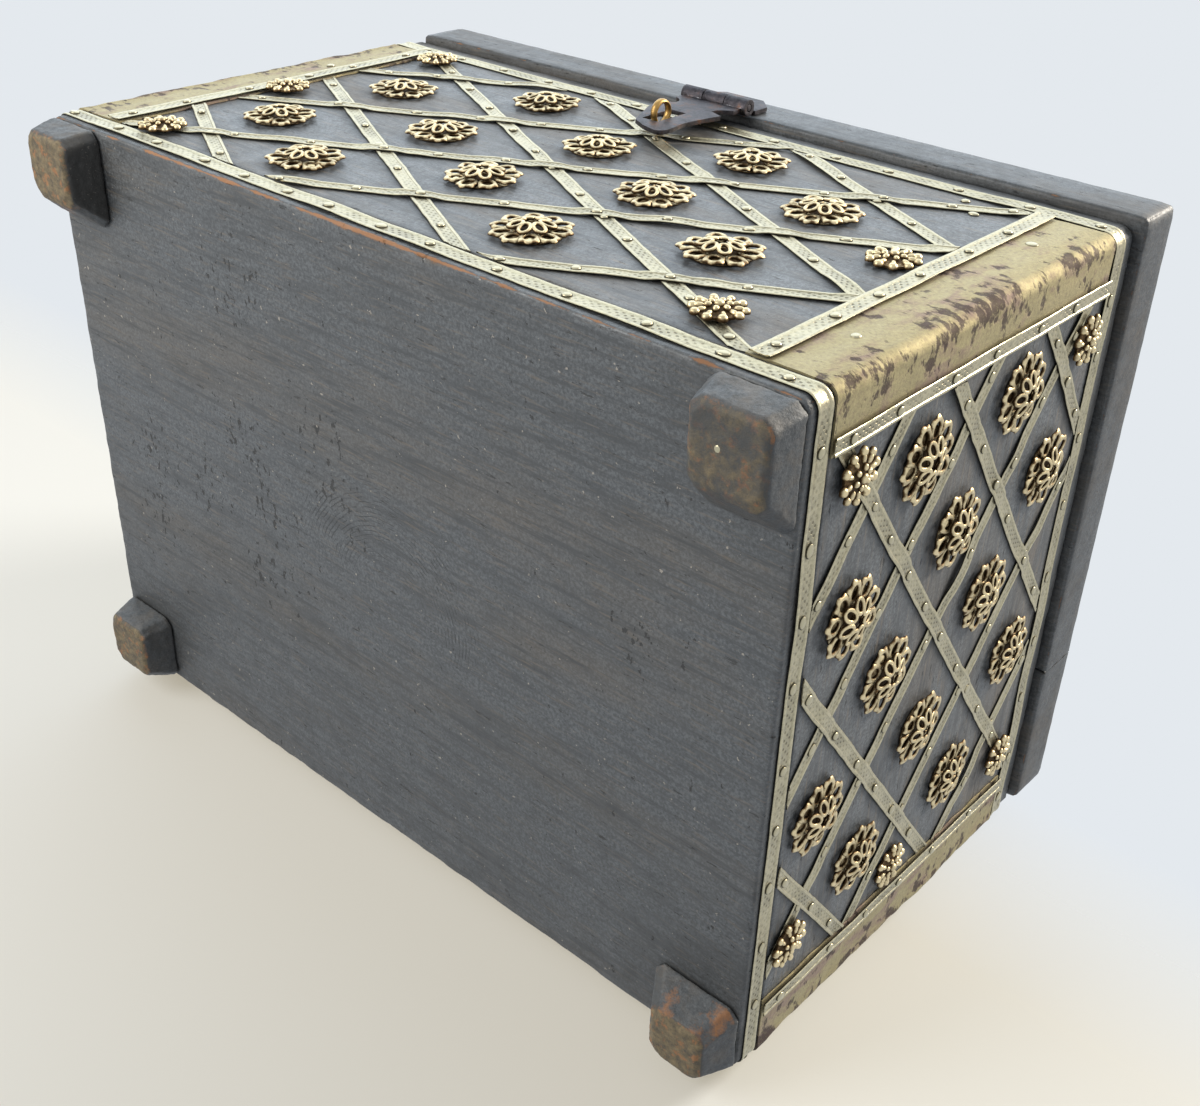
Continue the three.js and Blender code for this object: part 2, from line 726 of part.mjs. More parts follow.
// The parts of one hinge, in a group at the middle of its barrel
function hinge(name, x) {
  const group = new THREE.Group();
  group.position.set(x, halfDepth + hingeStandOff, bodyTop + lidGap / 2);
  group.add(
    named(`${name}_hinge_box_leaf`, boxHingeLeaf(), darkIron),
    named(`${name}_hinge_lid_leaf`, lidHingeLeaf(), darkIron),
    named(`${name}_hinge_pin`, bar(hingeBoreRadius - pinClearance, hingeLength), darkIron),
  );
  return group;
}

// The hasp's barrel lies in front of the joint between lid and body
function hasp() {
  const group = new THREE.Group();
  group.position.set(0, -halfDepth - haspStandOff, bodyTop);
  group.add(
    named('hasp_lid_plate', makeHaspPlate(), darkIron),
    named('hasp_leaf', makeHaspLeaf(), darkIron),
    named('hasp_pin', bar(haspBoreRadius - pinClearance, haspBarrelLength), darkIron),
  );
  return group;
}

const box = new THREE.Group();
box.add(
  ...carcass(),
  ...brassTrim(),
  named('ring_staple', makeStaple(), goldBrass),
  named('lid_front_board', makeLidFrontBoard(), darkWood),
  named('lid_rear_board', makeLidRearBoard(), darkWood),
  hinge('left', -hingeSpread / 2),
  hinge('right', hingeSpread / 2),
  hasp(),
);

const extent = new THREE.Box3().setFromObject(box);
const centre = extent.getCenter(new THREE.Vector3());
box.position.set(-centre.x, -centre.y, -extent.min.z);

export default box;
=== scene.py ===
"""Looks of a wooden box on four block feet, trimmed with stamped strips, corner plates and rosettes of brass.

The packed model gives every place. Sizes are in millimetres, and each mesh is turned to metres at the end.
"""

import json
import math
import random

import bmesh
import bpy
from mathutils import Matrix, Vector, noise

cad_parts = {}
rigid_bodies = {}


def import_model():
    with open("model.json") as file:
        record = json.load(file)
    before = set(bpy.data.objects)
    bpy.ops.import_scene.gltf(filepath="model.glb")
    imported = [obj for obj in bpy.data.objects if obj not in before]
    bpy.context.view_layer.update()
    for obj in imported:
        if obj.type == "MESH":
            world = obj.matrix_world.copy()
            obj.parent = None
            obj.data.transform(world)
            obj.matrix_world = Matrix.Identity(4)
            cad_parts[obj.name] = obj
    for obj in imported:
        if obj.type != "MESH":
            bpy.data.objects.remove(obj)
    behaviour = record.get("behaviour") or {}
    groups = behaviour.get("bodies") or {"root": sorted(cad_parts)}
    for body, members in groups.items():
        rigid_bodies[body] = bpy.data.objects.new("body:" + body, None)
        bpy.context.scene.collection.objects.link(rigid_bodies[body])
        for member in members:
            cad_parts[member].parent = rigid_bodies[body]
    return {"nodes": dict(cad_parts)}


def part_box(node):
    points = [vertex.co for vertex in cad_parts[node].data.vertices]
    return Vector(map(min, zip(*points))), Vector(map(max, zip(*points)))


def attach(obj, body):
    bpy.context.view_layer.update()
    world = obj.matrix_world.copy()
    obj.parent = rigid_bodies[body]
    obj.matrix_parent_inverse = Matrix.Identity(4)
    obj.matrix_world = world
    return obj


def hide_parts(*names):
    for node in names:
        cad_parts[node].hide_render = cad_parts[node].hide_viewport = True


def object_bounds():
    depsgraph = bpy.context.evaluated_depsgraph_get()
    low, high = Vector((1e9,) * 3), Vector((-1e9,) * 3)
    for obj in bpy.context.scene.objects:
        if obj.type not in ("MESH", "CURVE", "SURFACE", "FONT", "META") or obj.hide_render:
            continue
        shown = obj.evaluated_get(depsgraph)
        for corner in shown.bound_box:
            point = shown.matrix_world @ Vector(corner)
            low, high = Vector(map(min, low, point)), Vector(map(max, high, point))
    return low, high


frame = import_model()
cad_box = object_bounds()

bl_info = {
    "name": "Brass-trimmed wooden box",
    "version": (1, 0, 0),
    "blender": (4, 5, 0),
    "location": "3D View > Sidebar > Wooden box",
    "description": "Builds the worn boards, stamped brass trim, rosettes and hasp of a wooden box",
    "category": "Object",
}

MM = 0.001
UP = Vector((0, 0, 1))
MATH, MIX, RAMP, MARK = "ShaderNodeMath", "ShaderNodeMix", "ShaderNodeValToRGB", "ShaderNodeAttribute"

CORNER = 4.0  # radius of the body's upright corners
LID_GAP = 0.8  # between the lid's underside and the body
LID_SHADE_DEPTH = 4.5  # how far down from the body's top edge the painted shade under the lid reaches
BAND_START = 9.0  # from the body's side to the end of a band, on the back
STRIP_WIDTH = 5.0
STRIP_STEP = 1.1  # between the rows of points along a strip
PLATE_STEP = 1.2
# Places across a strip, close together where its raised borders begin and end
COLUMNS = [-1, -0.93, -0.68, -0.58, -0.3, 0, 0.3, 0.58, 0.68, 0.93, 1]
SHADED_UNDERSIDE = 1.6  # the mark across of a strip's back, past the 1 of its edge, so that its edge and back can take a painted shade
NAIL_SINK = 0.1

# Grain, shade, share of brown and torn surface of each kind of board. The shade is partly painted light: the long and
# end boards are painted lighter than the bottom for the light on their faces, the end boards most; the lid's lower
# shade is its own duller tone.
BOARDS = {
    "long": ("X", 1.25, 0.4, False),
    "end": ("Y", 1.35, 0.4, False),
    "torn": ("X", 1.08, 0.27, True),
    "dull": ("X", 0.78, 0.5, False),
}
# The ways across and out of each decorated face
FACES = {
    "front": ((1, 0, 0), (0, -1, 0)),
    "right_end": ((0, 1, 0), (1, 0, 0)),
    "left_end": ((0, -1, 0), (-1, 0, 0)),
}
# The crossed strips run parallel to their field's diagonals, off them by these shares of its height
STRIP_SHARES = {
    "front": ([0.745, 0.355, 0, -0.318, -0.673], [-0.781, -0.376, 0, 0.347, 0.68]),
    "right_end": ([0.774, 0.412, 0.043, -0.369, -0.724], [-0.753, -0.434, -0.072, 0.311, 0.695]),
}
STRIP_SHARES["left_end"] = STRIP_SHARES["right_end"][::-1]
# How far the large rosettes lie from the middles of their diamonds, across and up
DRIFT = {"front": (-1.8, 0.4), "right_end": (1.4, 1.5), "left_end": (-1.4, 1.5)}
ROSETTE_INSET = 12.3  # of a large rosette's middle from the edge of its field, at the least
# Small rosettes of an end, seen on the right one: share of the field's width and inset, then of its height
END_SMALL_ROSETTES = [
    ((0, 8.2), (0, 11.8)), ((0, 10), (1, -8.2)), ((1, -14.3), (1, -8.2)), ((1, -17.8), (0, 8.2)),
    ((1, -8.3), (0.471, 0)),
]
# Patches of the bottom board, as x, y, z and reach, where pits gather and where the saw left its marks
PIT_PATCHES = [
    (-118, 6, 12.5, 20), (-65, -18, 12.5, 16), (-20, -26, 12.5, 22), (-50, 2, 12.5, 22),
    (-88, 10, 12.5, 20), (-118, 34, 12.5, 18), (-52, 28, 12.5, 24), (-2, -4, 12.5, 12),
    (108, -20, 12.5, 14), (-60, -72, 12.5, 22),
]
SAW_PATCHES = [(-18, -4, 12.5, 22), (4, -14, 12.5, 22), (26, -6, 12.5, 18), (38, 12, 12.5, 14)]
SAW_CENTRE = (8, 16, 12.5)
# Each foot with how far its underside is rubbed and its right side blackened
FEET = [
    ("foot_front_left", 1.0, 1.0), ("foot_front_right", 0.55, 0.0),
    ("foot_rear_left", 0.85, 0.6), ("foot_rear_right", 0.9, 0.0),
]
# Lamps with place in metres, width, power and tint, all turned to the box's middle
LAMP_TARGET = Vector((0, 0, 0.1))
LAMPS = [
    ("window_softbox", (0.62, -0.62, 1.20), 0.5, 26.0, "#fff6e8"),
    ("sheen_softbox", (-0.83, -0.83, 1.05), 2.4, 23.0, "#dcebf8"),
    ("key_softbox", (-0.36, -0.42, -0.5), 0.6, 4.6, "#fffdf8"),
]


def linear(code):
    """An sRGB hex colour as linear red, green and blue."""
    parts = [int(code[i:i + 2], 16) / 255 for i in (1, 3, 5)]
    return tuple(p / 12.92 if p <= 0.04045 else ((p + 0.055) / 1.055) ** 2.4 for p in parts)


def colour(label, description, code):
    return bpy.props.FloatVectorProperty(
        name=label, description=description, default=linear(code), size=3, min=0, max=1, subtype="COLOR")


def length(label, description, millimetres):
    return bpy.props.FloatProperty(
        name=label, description=description, default=millimetres * MM, min=0, max=1,
        unit="LENGTH", subtype="DISTANCE")


class WoodSettings(bpy.types.PropertyGroup):
    """The boards and feet."""

    stain: colour("Stain", "Colour of the ebonised boards", "#474a4c")
    stain_worn: colour("Thin stain", "Colour where the stain has rubbed thin", "#6b6052")
    fleck: colour("Fleck", "Colour of small pale specks", "#a8a094")
    bare: colour("Bare edge", "Colour of the bare wood at worn edges", "#a37045")
    ground: colour("Ground face", "Colour of the feet's ground faces", "#7b6c50")
    pit: colour("Pit", "Colour inside pits and pores", "#15130f")
    undulation: length("Undulation", "How far a board's face is out of flat", 0.12)
    edge_wear: length("Edge wear", "How far the edges are rubbed back", 0.5)


class BrassSettings(bpy.types.PropertyGroup):
    """The strips, plates, rosettes and nails."""

    strip: colour("Strip", "Colour of the raised parts of the stamped strips", "#bdb497")
    # The strip recess colour also serves, darkened, for the painted shade on the strips' edges and backs and round the
    # nails.
    strip_dirt: colour("Strip recess", "Colour in the stamped strips' recesses", "#857f6b")
    plate: colour("Plate", "Colour of the corner plates", "#a69b78")
    tarnish: colour("Tarnish", "Colour of the blotches on the corner plates", "#7d6a66")
    rosette: colour("Rosette", "Colour of the rosettes' high parts", "#d2c098")
    # The rosettes' low parts: dirt and painted shade.
    rosette_dirt_and_shade: colour("Rosette recess", "Colour of the rosettes' low parts", "#735b3e")
    strip_thickness: length("Strip thickness", "Thickness of the strips' sheet", 0.45)
    relief: length("Stamped relief", "Height of a strip's raised borders", 0.22)


class FittingSettings(bpy.types.PropertyGroup):
    """The hasp, staple and hinges."""

    iron: colour("Iron", "Colour of the hasp and hinges", "#454246")
    rust: colour("Rust", "Colour of the rust on the iron", "#5c463c")
    bright: colour("Bright edge", "Colour of the iron's rubbed edges", "#a9abb0")
    ring: colour("Ring", "Colour of the staple", "#b08d55")


class StageSettings(bpy.types.PropertyGroup):
    """The floor, the light and the camera."""

    floor: colour("Floor", "Colour of the floor and of the background", "#e4e9ee")
    floor_shade: colour("Floor in shade", "Colour that the floor keeps in the box's shadow", "#d8cdb4")
    even_light: colour("Even light", "Colour of the light from all round", "#eef1f6")
    lens: bpy.props.FloatProperty(
        name="Lens", description="Focal length in millimetres for a 36 mm sensor", default=44.175,
        min=10, max=200)
    camera_place: bpy.props.FloatVectorProperty(
        name="Camera", description="Where the camera stands", default=(0.3071, -0.2433, -0.2342),
        unit="LENGTH", subtype="TRANSLATION")


# ---- Shader helpers


def rgba(value):
    """A grey level or a colour with its fourth part."""
    return (*value, 1.0) if hasattr(value, "__len__") else (value, value, value, 1.0)


def node(tree, kind, links=None, settings=None, stops=(), out=0):
    """Adds a node and gives one of its outputs. Links name its inputs, each with a socket or a plain value,
    settings are its own options, and stops are a ramp's places with their grey levels or colours."""
    made = tree.nodes.new(kind)
    for key, value in (settings or {}).items():
        setattr(made, key, value)
    for key, value in (links or {}).items():
        if isinstance(value, bpy.types.NodeSocket):
            tree.links.new(value, made.inputs[key])
        else:
            made.inputs[key].default_value = rgba(value) if made.inputs[key].type == "RGBA" else value
    if stops:
        elements = made.color_ramp.elements
        while len(elements) < len(stops):
            elements.new(0.5)
        for element, (at, value) in zip(elements, stops):
            element.position, element.color = at, rgba(value)
    return made.outputs[out] if made.outputs else None


def weighed(tree, total, *terms):
    """Adds values to a total, each one times its weight."""
    for value, weight in terms:
        total = node(tree, MATH, {0: value, 1: weight, 2: total}, {"operation": "MULTIPLY_ADD"})
    return total


def highest(tree, *values):
    whole = values[0]
    for value in values[1:]:
        whole = node(tree, MATH, {0: whole, 1: value}, {"operation": "MAXIMUM"})
    return whole


def coats(tree, tone, layers):
    """Lays colours over a tone in turn. Each layer is a value, the stops that turn it into the share that
    the layer covers (none where it is that share), and the colour."""
    for value, stops, over in layers:
        cover = node(tree, RAMP, {0: value}, stops=stops) if stops else value
        tone = node(tree, MIX, {0: cover, 6: tone, 7: over}, {"data_type": "RGBA"}, out=2)
    return tone


def speckle(tree, place, size, stretch=(1, 1, 1), detail=3.0, roughness=0.55, seed=0.0):
    """Noise whose spots are size millimetres across, stretched along the axes by the given factors."""
    mapped = node(tree, "ShaderNodeMapping", {
        "Vector": place, "Location": (seed, seed * 0.7, seed * 1.3),
        "Scale": tuple(1 / (size * MM) / s for s in stretch)})
    return node(tree, "ShaderNodeTexNoise", {
        "Vector": mapped, "Scale": 1.0, "Detail": detail, "Roughness": roughness})


def near_spots(tree, place, spots):
    """A value from 0 to 1 that is high inside any of the round patches (x, y, z, radius)."""
    inside = []
    for x, y, z, radius in spots:
        gap = node(tree, "ShaderNodeVectorMath", {0: place, 1: (x * MM, y * MM, z * MM)},
                   {"operation": "DISTANCE"}, out="Value")
        inside.append(node(tree, "ShaderNodeMapRange", {
            "Value": gap, "From Min": radius * MM, "From Max": 0.35 * radius * MM}))
    return highest(tree, *inside)


def scaled(values, factor):
    return tuple(v * factor for v in values)


def blank_tree(owner):
    owner.use_nodes = True
    owner.node_tree.nodes.clear()
    return owner.node_tree


def finished(recipe, name=None, *choices):
    """The material that a recipe gives, made the first time it is asked for and named for the recipe."""
    name = name or recipe.__name__
    if name in bpy.data.materials:
        return bpy.data.materials[name]
    made = bpy.data.materials.new(name)
    tree = blank_tree(made)
    place = node(tree, "ShaderNodeTexCoord", out="Object")
    tone, rough, height, bump_mm, fixed = recipe(tree, place, *choices)
    normal = node(tree, "ShaderNodeBump", {"Height": height, "Distance": bump_mm * MM, "Strength": 1.0})
    shader = node(tree, "ShaderNodeBsdfPrincipled", {
        "Base Color": tone, "Roughness": rough, "Normal": normal, **fixed})
    node(tree, "ShaderNodeOutputMaterial", {"Surface": shader})
    return made


# ---- Materials. Each recipe gives colour, roughness, height, the height's size in millimetres and the
# ---- values that are the same all over. Pores, fibres, dust and the sheets' grain are finer than half a
# ---- millimetre, too fine to show, so they are drawn 0.9 to 1.3 mm wide.


def stained_hardwood(tree, place, grain, shade, brown, torn):
    """Ebonised hardwood, planed by hand and rubbed with wax: a dry bluish charcoal with a low sheen, fine
    streaks and short gouges along the grain, faint brown patches where the wax has gone, and brown wood
    where edges have rubbed through. Torn adds pits and saw marks."""
    wood = bpy.context.scene.box_wood
    stain, thin = scaled(wood.stain, shade), scaled(wood.stain_worn, shade)
    along = [14.0 if axis == grain else 1.0 for axis in "XYZ"]
    half_along = [4.5 if axis == grain else 1.0 for axis in "XYZ"]
    streaks = speckle(tree, place, 2.4, along, 6, 0.7)
    fibres = speckle(tree, place, 0.9, along, seed=3.1)
    gouges = speckle(tree, place, 1.5, half_along, 4, 0.65, 23.0)
    clouds = speckle(tree, place, 38, half_along, 5, 0.65, 1.7)
    smoke = speckle(tree, place, 9, half_along, 6, 0.7, 11.3)
    mottle = speckle(tree, place, 5, detail=6, roughness=0.75, seed=5.3)
    grit = speckle(tree, place, 1.0, detail=4, roughness=0.75, seed=9.4)
    tone = node(tree, RAMP, {0: grit}, stops=[
        (0.40, scaled(stain, 0.55)), (0.5, stain), (0.60, scaled(stain, 1.7))])
    marks = node(tree, RAMP, {0: gouges}, stops=[(0.64, 0.0), (0.70, 0.85)])
    layers = [
        (clouds, [(0.48, 0.0), (0.66, brown)], thin),
        (smoke, [(0.36, 0.55), (0.5, 0.0)], scaled(stain, 0.45)),
        (streaks, [(0.38, 0.75), (0.5, 0.0)], scaled(stain, 0.4)),
        (fibres, [(0.56, 0.0), (0.70, 0.55)], thin),
        (marks, None, wood.pit),
    ]
    if torn:
        pits, arcs = torn_pits(tree, place), saw_arcs(tree, place)
        layers += [
            (weighed(tree, 0.0, (arcs, 0.75)), None, scaled(stain, 0.3)),
            (pits, None, wood.pit),
            (speckle(tree, place, 1.8, detail=2, seed=12.1), [(0.72, 0.0), (0.75, 0.9)], wood.fleck),
        ]
        marks = highest(tree, marks, pits, weighed(tree, 0.0, (arcs, 0.6)))
    worn = node(tree, MARK, settings={"attribute_name": "wear"}, out="Fac")
    ragged = weighed(tree, -0.65, (worn, 1.0), (mottle, 1.3))
    # Painted shade: where the painted_shade mark is high, the wood is painted darker in patches and made rougher. This
    # stands for the shadows beside the strips and rosettes, under the lid and on the bottom board.
    painted_shade = node(tree, MARK, settings={"attribute_name": "painted_shade"}, out="Fac")
    patchy_shade = weighed(tree, 0.0, (painted_shade, node(tree, RAMP, {0: mottle}, stops=[(0.3, 0.6), (0.6, 1.0)])))
    layers += [(ragged, [(0.5, 0.0), (0.75, 0.95)], wood.bare), (patchy_shade, None, scaled(wood.pit, 2.0))]
    polish = weighed(tree, 1.0, (grit, -0.35), (clouds, -0.65), (marks, -0.4))
    rough = weighed(
        tree, node(tree, RAMP, {0: mottle}, stops=[(0.35, 0.40), (0.65, 0.54)]),
        (node(tree, RAMP, {0: polish}, stops=[(0.36, 0.22), (0.52, 0.0)]), 1.0),
        (node(tree, RAMP, {0: ragged}, stops=[(0.3, 0.0), (0.6, 0.25)]), 1.0), (patchy_shade, 0.3))
    height = weighed(tree, streaks, (grit, 0.6), (marks, -1.5))
    fixed = {"Metallic": 0.0, "IOR": 1.5, "Specular IOR Level": 0.9 * min(shade, 1.0)}
    return coats(tree, tone, layers), rough, height, 0.14, fixed


def torn_pits(tree, place):
    """Short dark pits that the plane and the worm tore across the bottom board, gathered in patches."""
    grains = speckle(tree, place, 3.8, [0.62, 1.05, 1], 5, 0.6, 21.0)
    gathered = weighed(tree, grains, (near_spots(tree, place, PIT_PATCHES), 0.10))
    return node(tree, RAMP, {0: gathered}, stops=[(0.685, 0.0), (0.705, 1.0)])


def saw_arcs(tree, place):
    """Faint curved scratches 1.5 mm apart that a saw left, parts of circles round one place."""
    gap = node(tree, "ShaderNodeVectorMath", {0: place, 1: scaled(SAW_CENTRE, MM)},
               {"operation": "DISTANCE"}, out="Value")
    drift = speckle(tree, place, 9, seed=15.0)
    turns = weighed(tree, 0.0, (gap, math.tau / (1.5 * MM)), (drift, 9.0))
    wave = node(tree, MATH, {0: turns}, {"operation": "SINE"})
    lines = node(tree, RAMP, {0: wave}, stops=[(0.5, 0.0), (0.9, 1.0)])
    breaks = speckle(tree, place, 3.5, detail=4, roughness=0.7, seed=17.0)
    broken = node(tree, RAMP, {0: breaks}, stops=[(0.45, 0.0), (0.55, 1.0)])
    return weighed(tree, 0.0, (weighed(tree, 0.0, (lines, broken)), near_spots(tree, place, SAW_PATCHES)))


def worn_foot_hardwood(tree, place):
    """The feet: the same stained hardwood, hard worn. The ground faces are rubbed to a tan end grain with
    dirt ground in and orange spots, and the sides keep a dark, dry stain that has chipped at the edges."""
    wood = bpy.context.scene.box_wood
    clouds = speckle(tree, place, 8, detail=6, roughness=0.7, seed=2.1)
    mottle = speckle(tree, place, 2.6, detail=6, roughness=0.75, seed=4.4)
    spots = speckle(tree, place, 4.2, detail=5, roughness=0.7, seed=6.9)
    grit = speckle(tree, place, 0.9, roughness=0.7, seed=6.3)
    ground, black, worn = (node(tree, MARK, settings={"attribute_name": name}, out="Fac")
                           for name in ("ground", "black", "wear"))
    side = node(tree, RAMP, {0: grit}, stops=[(0.36, scaled(wood.stain, 0.7)), (0.64, scaled(wood.stain, 1.4))])
    side = coats(tree, side, [(clouds, [(0.45, 0.0), (0.7, 0.5)], wood.stain_worn)])
    under = node(tree, RAMP, {0: mottle}, stops=[
        (0.36, scaled(wood.ground, 0.3)), (0.5, scaled(wood.ground, 0.8)), (0.66, scaled(wood.ground, 1.35))])
    muddy = weighed(tree, -0.8, (ground, 1.0), (clouds, 1.6))
    under = coats(tree, under, [
        (spots, [(0.54, 0.0), (0.62, 0.8)], wood.bare),
        (muddy, [(0.45, 0.85), (0.85, 0.0)], scaled(wood.stain, 0.62)),
    ])
    ragged = weighed(tree, -0.65, (worn, 1.0), (mottle, 1.3))
    chips = weighed(tree, speckle(tree, place, 0.9, seed=8.8), (clouds, 0.6))
    chipped = node(tree, RAMP, {0: chips}, stops=[(0.97, 0.0), (1.0, 1.0)])
    tone = coats(tree, side, [
        (ground, [(0.05, 0.0), (0.3, 1.0)], under),
        (black, None, wood.pit),
        (ragged, [(0.5, 0.0), (0.8, 0.85)], wood.bare),
        (weighed(tree, 0.0, (chipped, weighed(tree, 0.0, (black, 0.6)))), None, scaled(wood.fleck, 0.35)),
    ])
    rough = node(tree, RAMP, {0: weighed(tree, mottle, (ground, 0.3))}, stops=[(0.3, 0.45), (0.8, 0.75)])
    fixed = {"Metallic": 0.0, "IOR": 1.5, "Specular IOR Level": 0.7}
    return tone, weighed(tree, rough, (black, 0.15)), weighed(tree, mottle, (grit, 0.4)), 0.3, fixed


def stamped_sheet_brass(tree, place):
    """Thin sheet brass, roll-stamped between plain borders with rows of small dots and rubbed by handling:
    a pale, greyish yellow with a soft shine, and grey-brown dirt left in the dots and in duller patches."""
    brass = bpy.context.scene.box_brass
    along, across = (node(tree, MARK, settings={"attribute_name": name}, out="Fac")
                     for name in ("along", "across"))
    # Staggered dots: their rows repeat every 2.7 mm along, and every 1.8 mm across a strip 5 mm wide.
    # Finer ones don't show.
    rows, files = (node(tree, MATH, {0: weighed(tree, 0.0, (way, math.tau / pitch))}, {"operation": "COSINE"})
                   for way, pitch in ((along, 2.7), (across, 0.72)))
    off_middle = node(tree, MATH, {0: across}, {"operation": "ABSOLUTE"})
    inside = node(tree, RAMP, {0: off_middle}, stops=[(0.56, 1.0), (0.64, 0.0)])
    clouds = speckle(tree, place, 11, detail=4, seed=2.9)
    grain = speckle(tree, place, 1.2, detail=5, roughness=0.75, seed=6.1)
    dots = node(tree, RAMP, {0: weighed(tree, 0.0, (rows, files))}, stops=[(0.3, 0.0), (0.75, 1.0)])
    for share in (inside, node(tree, RAMP, {0: clouds}, stops=[(0.4, 0.25), (0.62, 1.0)])):
        dots = weighed(tree, 0.0, (dots, share))
    dull = node(tree, RAMP, {0: clouds}, stops=[(0.42, 0.1), (0.66, 0.65)])
    tone = node(tree, RAMP, {0: grain}, stops=[
        (0.34, scaled(brass.strip, 0.66)), (0.5, brass.strip), (0.66, scaled(brass.strip, 1.12))])
    tone = coats(tree, tone, [
        (weighed(tree, 0.0, (inside, dull)), None, brass.strip_dirt),
        (weighed(tree, 0.0, (dots, 0.85)), None, scaled(brass.strip_dirt, 0.5)),
        # Painted shade: the strip's outer edges and its back, marked past 1 across, are painted nearly black.
        (weighed(tree, 0.0, (off_middle, 0.5)), [(0.492, 0.0), (0.54, 1.0)], scaled(brass.strip_dirt, 0.12)),
    ])
    uneven = weighed(tree, 0.0, (grain, 0.6), (dots, 0.4))
    rough = node(tree, RAMP, {0: uneven}, stops=[(0.2, 0.34), (0.7, 0.55)])
    return tone, rough, weighed(tree, 0.0, (grain, 0.4), (dots, -1.0)), 0.16, {"Metallic": 0.9}


def mottled_sheet_brass(tree, place):
    """Wider sheet brass, hammered round the corners and lacquered long ago: a pale cream yellow with soft
    dents and mauve streaks where the lacquer has gone, and small brown spots, most of them near the fold."""
    brass = bpy.context.scene.box_brass
    fold = node(tree, MARK, settings={"attribute_name": "fold"}, out="Fac")
    blotches = speckle(tree, place, 8, [1, 1, 1.8], 5, 0.6, 1.3)
    spots = speckle(tree, place, 3.6, [1.6, 1.6, 0.9], 4, 0.55, 3.7)
    clouds = speckle(tree, place, 30, seed=4.8)
    grain = speckle(tree, place, 1.1, detail=4, roughness=0.7, seed=5.9)
    mask = weighed(tree, -0.2, (blotches, 1.0), (clouds, 0.4))
    near = weighed(tree, -0.25, (spots, 1.0), (fold, 0.11), (mask, 0.5))
    dark = node(tree, RAMP, {0: near}, stops=[(0.60, 0.0), (0.68, 0.85)])
    tone = coats(tree, brass.plate, [
        (mask, [(0.50, 0.0), (0.64, 0.7)], scaled(brass.tarnish, 1.4)),
        (dark, None, scaled(brass.tarnish, 0.3)),
        (grain, [(0.36, 0.3), (0.5, 0.0)], scaled(brass.tarnish, 0.8)),
        (grain, [(0.55, 0.0), (0.7, 0.35)], scaled(brass.plate, 1.45)),
    ])
    rough = weighed(tree, node(tree, RAMP, {0: mask}, stops=[(0.45, 0.58), (0.6, 0.68)]), (fold, 0.14))
    height = weighed(tree, blotches, (grain, 0.3), (dark, -0.4))
    return tone, rough, height, 0.4, {"Metallic": 0.85}


def pressed_rosette_brass(tree, place):
    """Pressed and pierced brass, gilt by age: pale warm gold on the rims of the petals, and a dark brown
    dirt that has settled on their flanks and in the hollows between them."""
    brass = bpy.context.scene.box_brass
    relief = node(tree, MARK, settings={"attribute_name": "relief"}, out="Fac")
    grain = speckle(tree, place, 1.3, detail=4, roughness=0.7, seed=4.9)
    clouds = speckle(tree, place, 6, seed=7.4)
    # The relief mark is high on the tops of rims, teeth and beads and low on their flanks, under them and in the
    # hollows: the tone paints a highlight on top and shade below, with dirt.
    dirt_and_painted_shade = weighed(tree, -0.9, (relief, 1.0), (grain, 1.0), (clouds, 0.8))
    tone = node(tree, RAMP, {0: dirt_and_painted_shade}, stops=[
        (0.28, scaled(brass.rosette_dirt_and_shade, 0.35)), (0.47, brass.rosette_dirt_and_shade),
        (0.68, scaled(brass.rosette, 0.7)), (0.98, scaled(brass.rosette, 1.2))])
    rough = node(tree, RAMP, {0: dirt_and_painted_shade}, stops=[(0.4, 0.62), (0.9, 0.34)])
    return tone, rough, grain, 0.1, {"Metallic": 0.95}


def blackened_wrought_iron(tree, place):
    """Wrought iron, filed and blackened: a dark brown-grey skin with a little reddish rust in its hollows
    and dull bright metal along the rubbed edges."""
    iron = bpy.context.scene.box_fittings
    worn = node(tree, MARK, settings={"attribute_name": "wear"}, out="Fac")
    clouds = speckle(tree, place, 5, detail=6, roughness=0.7, seed=2.2)
    grain = speckle(tree, place, 0.9, detail=4, roughness=0.7, seed=7.1)
    ragged = weighed(tree, -0.45, (worn, 1.0), (grain, 0.9))
    tone = node(tree, RAMP, {0: clouds}, stops=[(0.38, scaled(iron.iron, 0.45)), (0.52, iron.iron), (0.64, iron.rust)])
    tone = coats(tree, tone, [
        (grain, [(0.55, 0.0), (0.68, 0.5)], scaled(iron.iron, 2.2)),
        (ragged, [(0.45, 0.0), (0.85, 0.9)], iron.bright),
    ])
    rough = node(tree, RAMP, {0: ragged}, stops=[(0.2, 0.5), (0.8, 0.33)])
    return tone, rough, weighed(tree, grain, (clouds, 1.0)), 0.12, {"Metallic": 0.9}


def drawn_brass_rod(tree, place):
    """Brass rod, bent into a ring and handled for years: an even, warm gold with brown in its hollows."""
    ring = bpy.context.scene.box_fittings.ring
    clouds = speckle(tree, place, 3, detail=5, roughness=0.7, seed=3.2)
    tone = node(tree, RAMP, {0: clouds}, stops=[(0.35, scaled(ring, 0.55)), (0.55, ring), (0.75, scaled(ring, 1.3))])
    rough = node(tree, RAMP, {0: clouds}, stops=[(0.3, 0.45), (0.7, 0.3)])
    return tone, rough, clouds, 0.08, {"Metallic": 0.95}


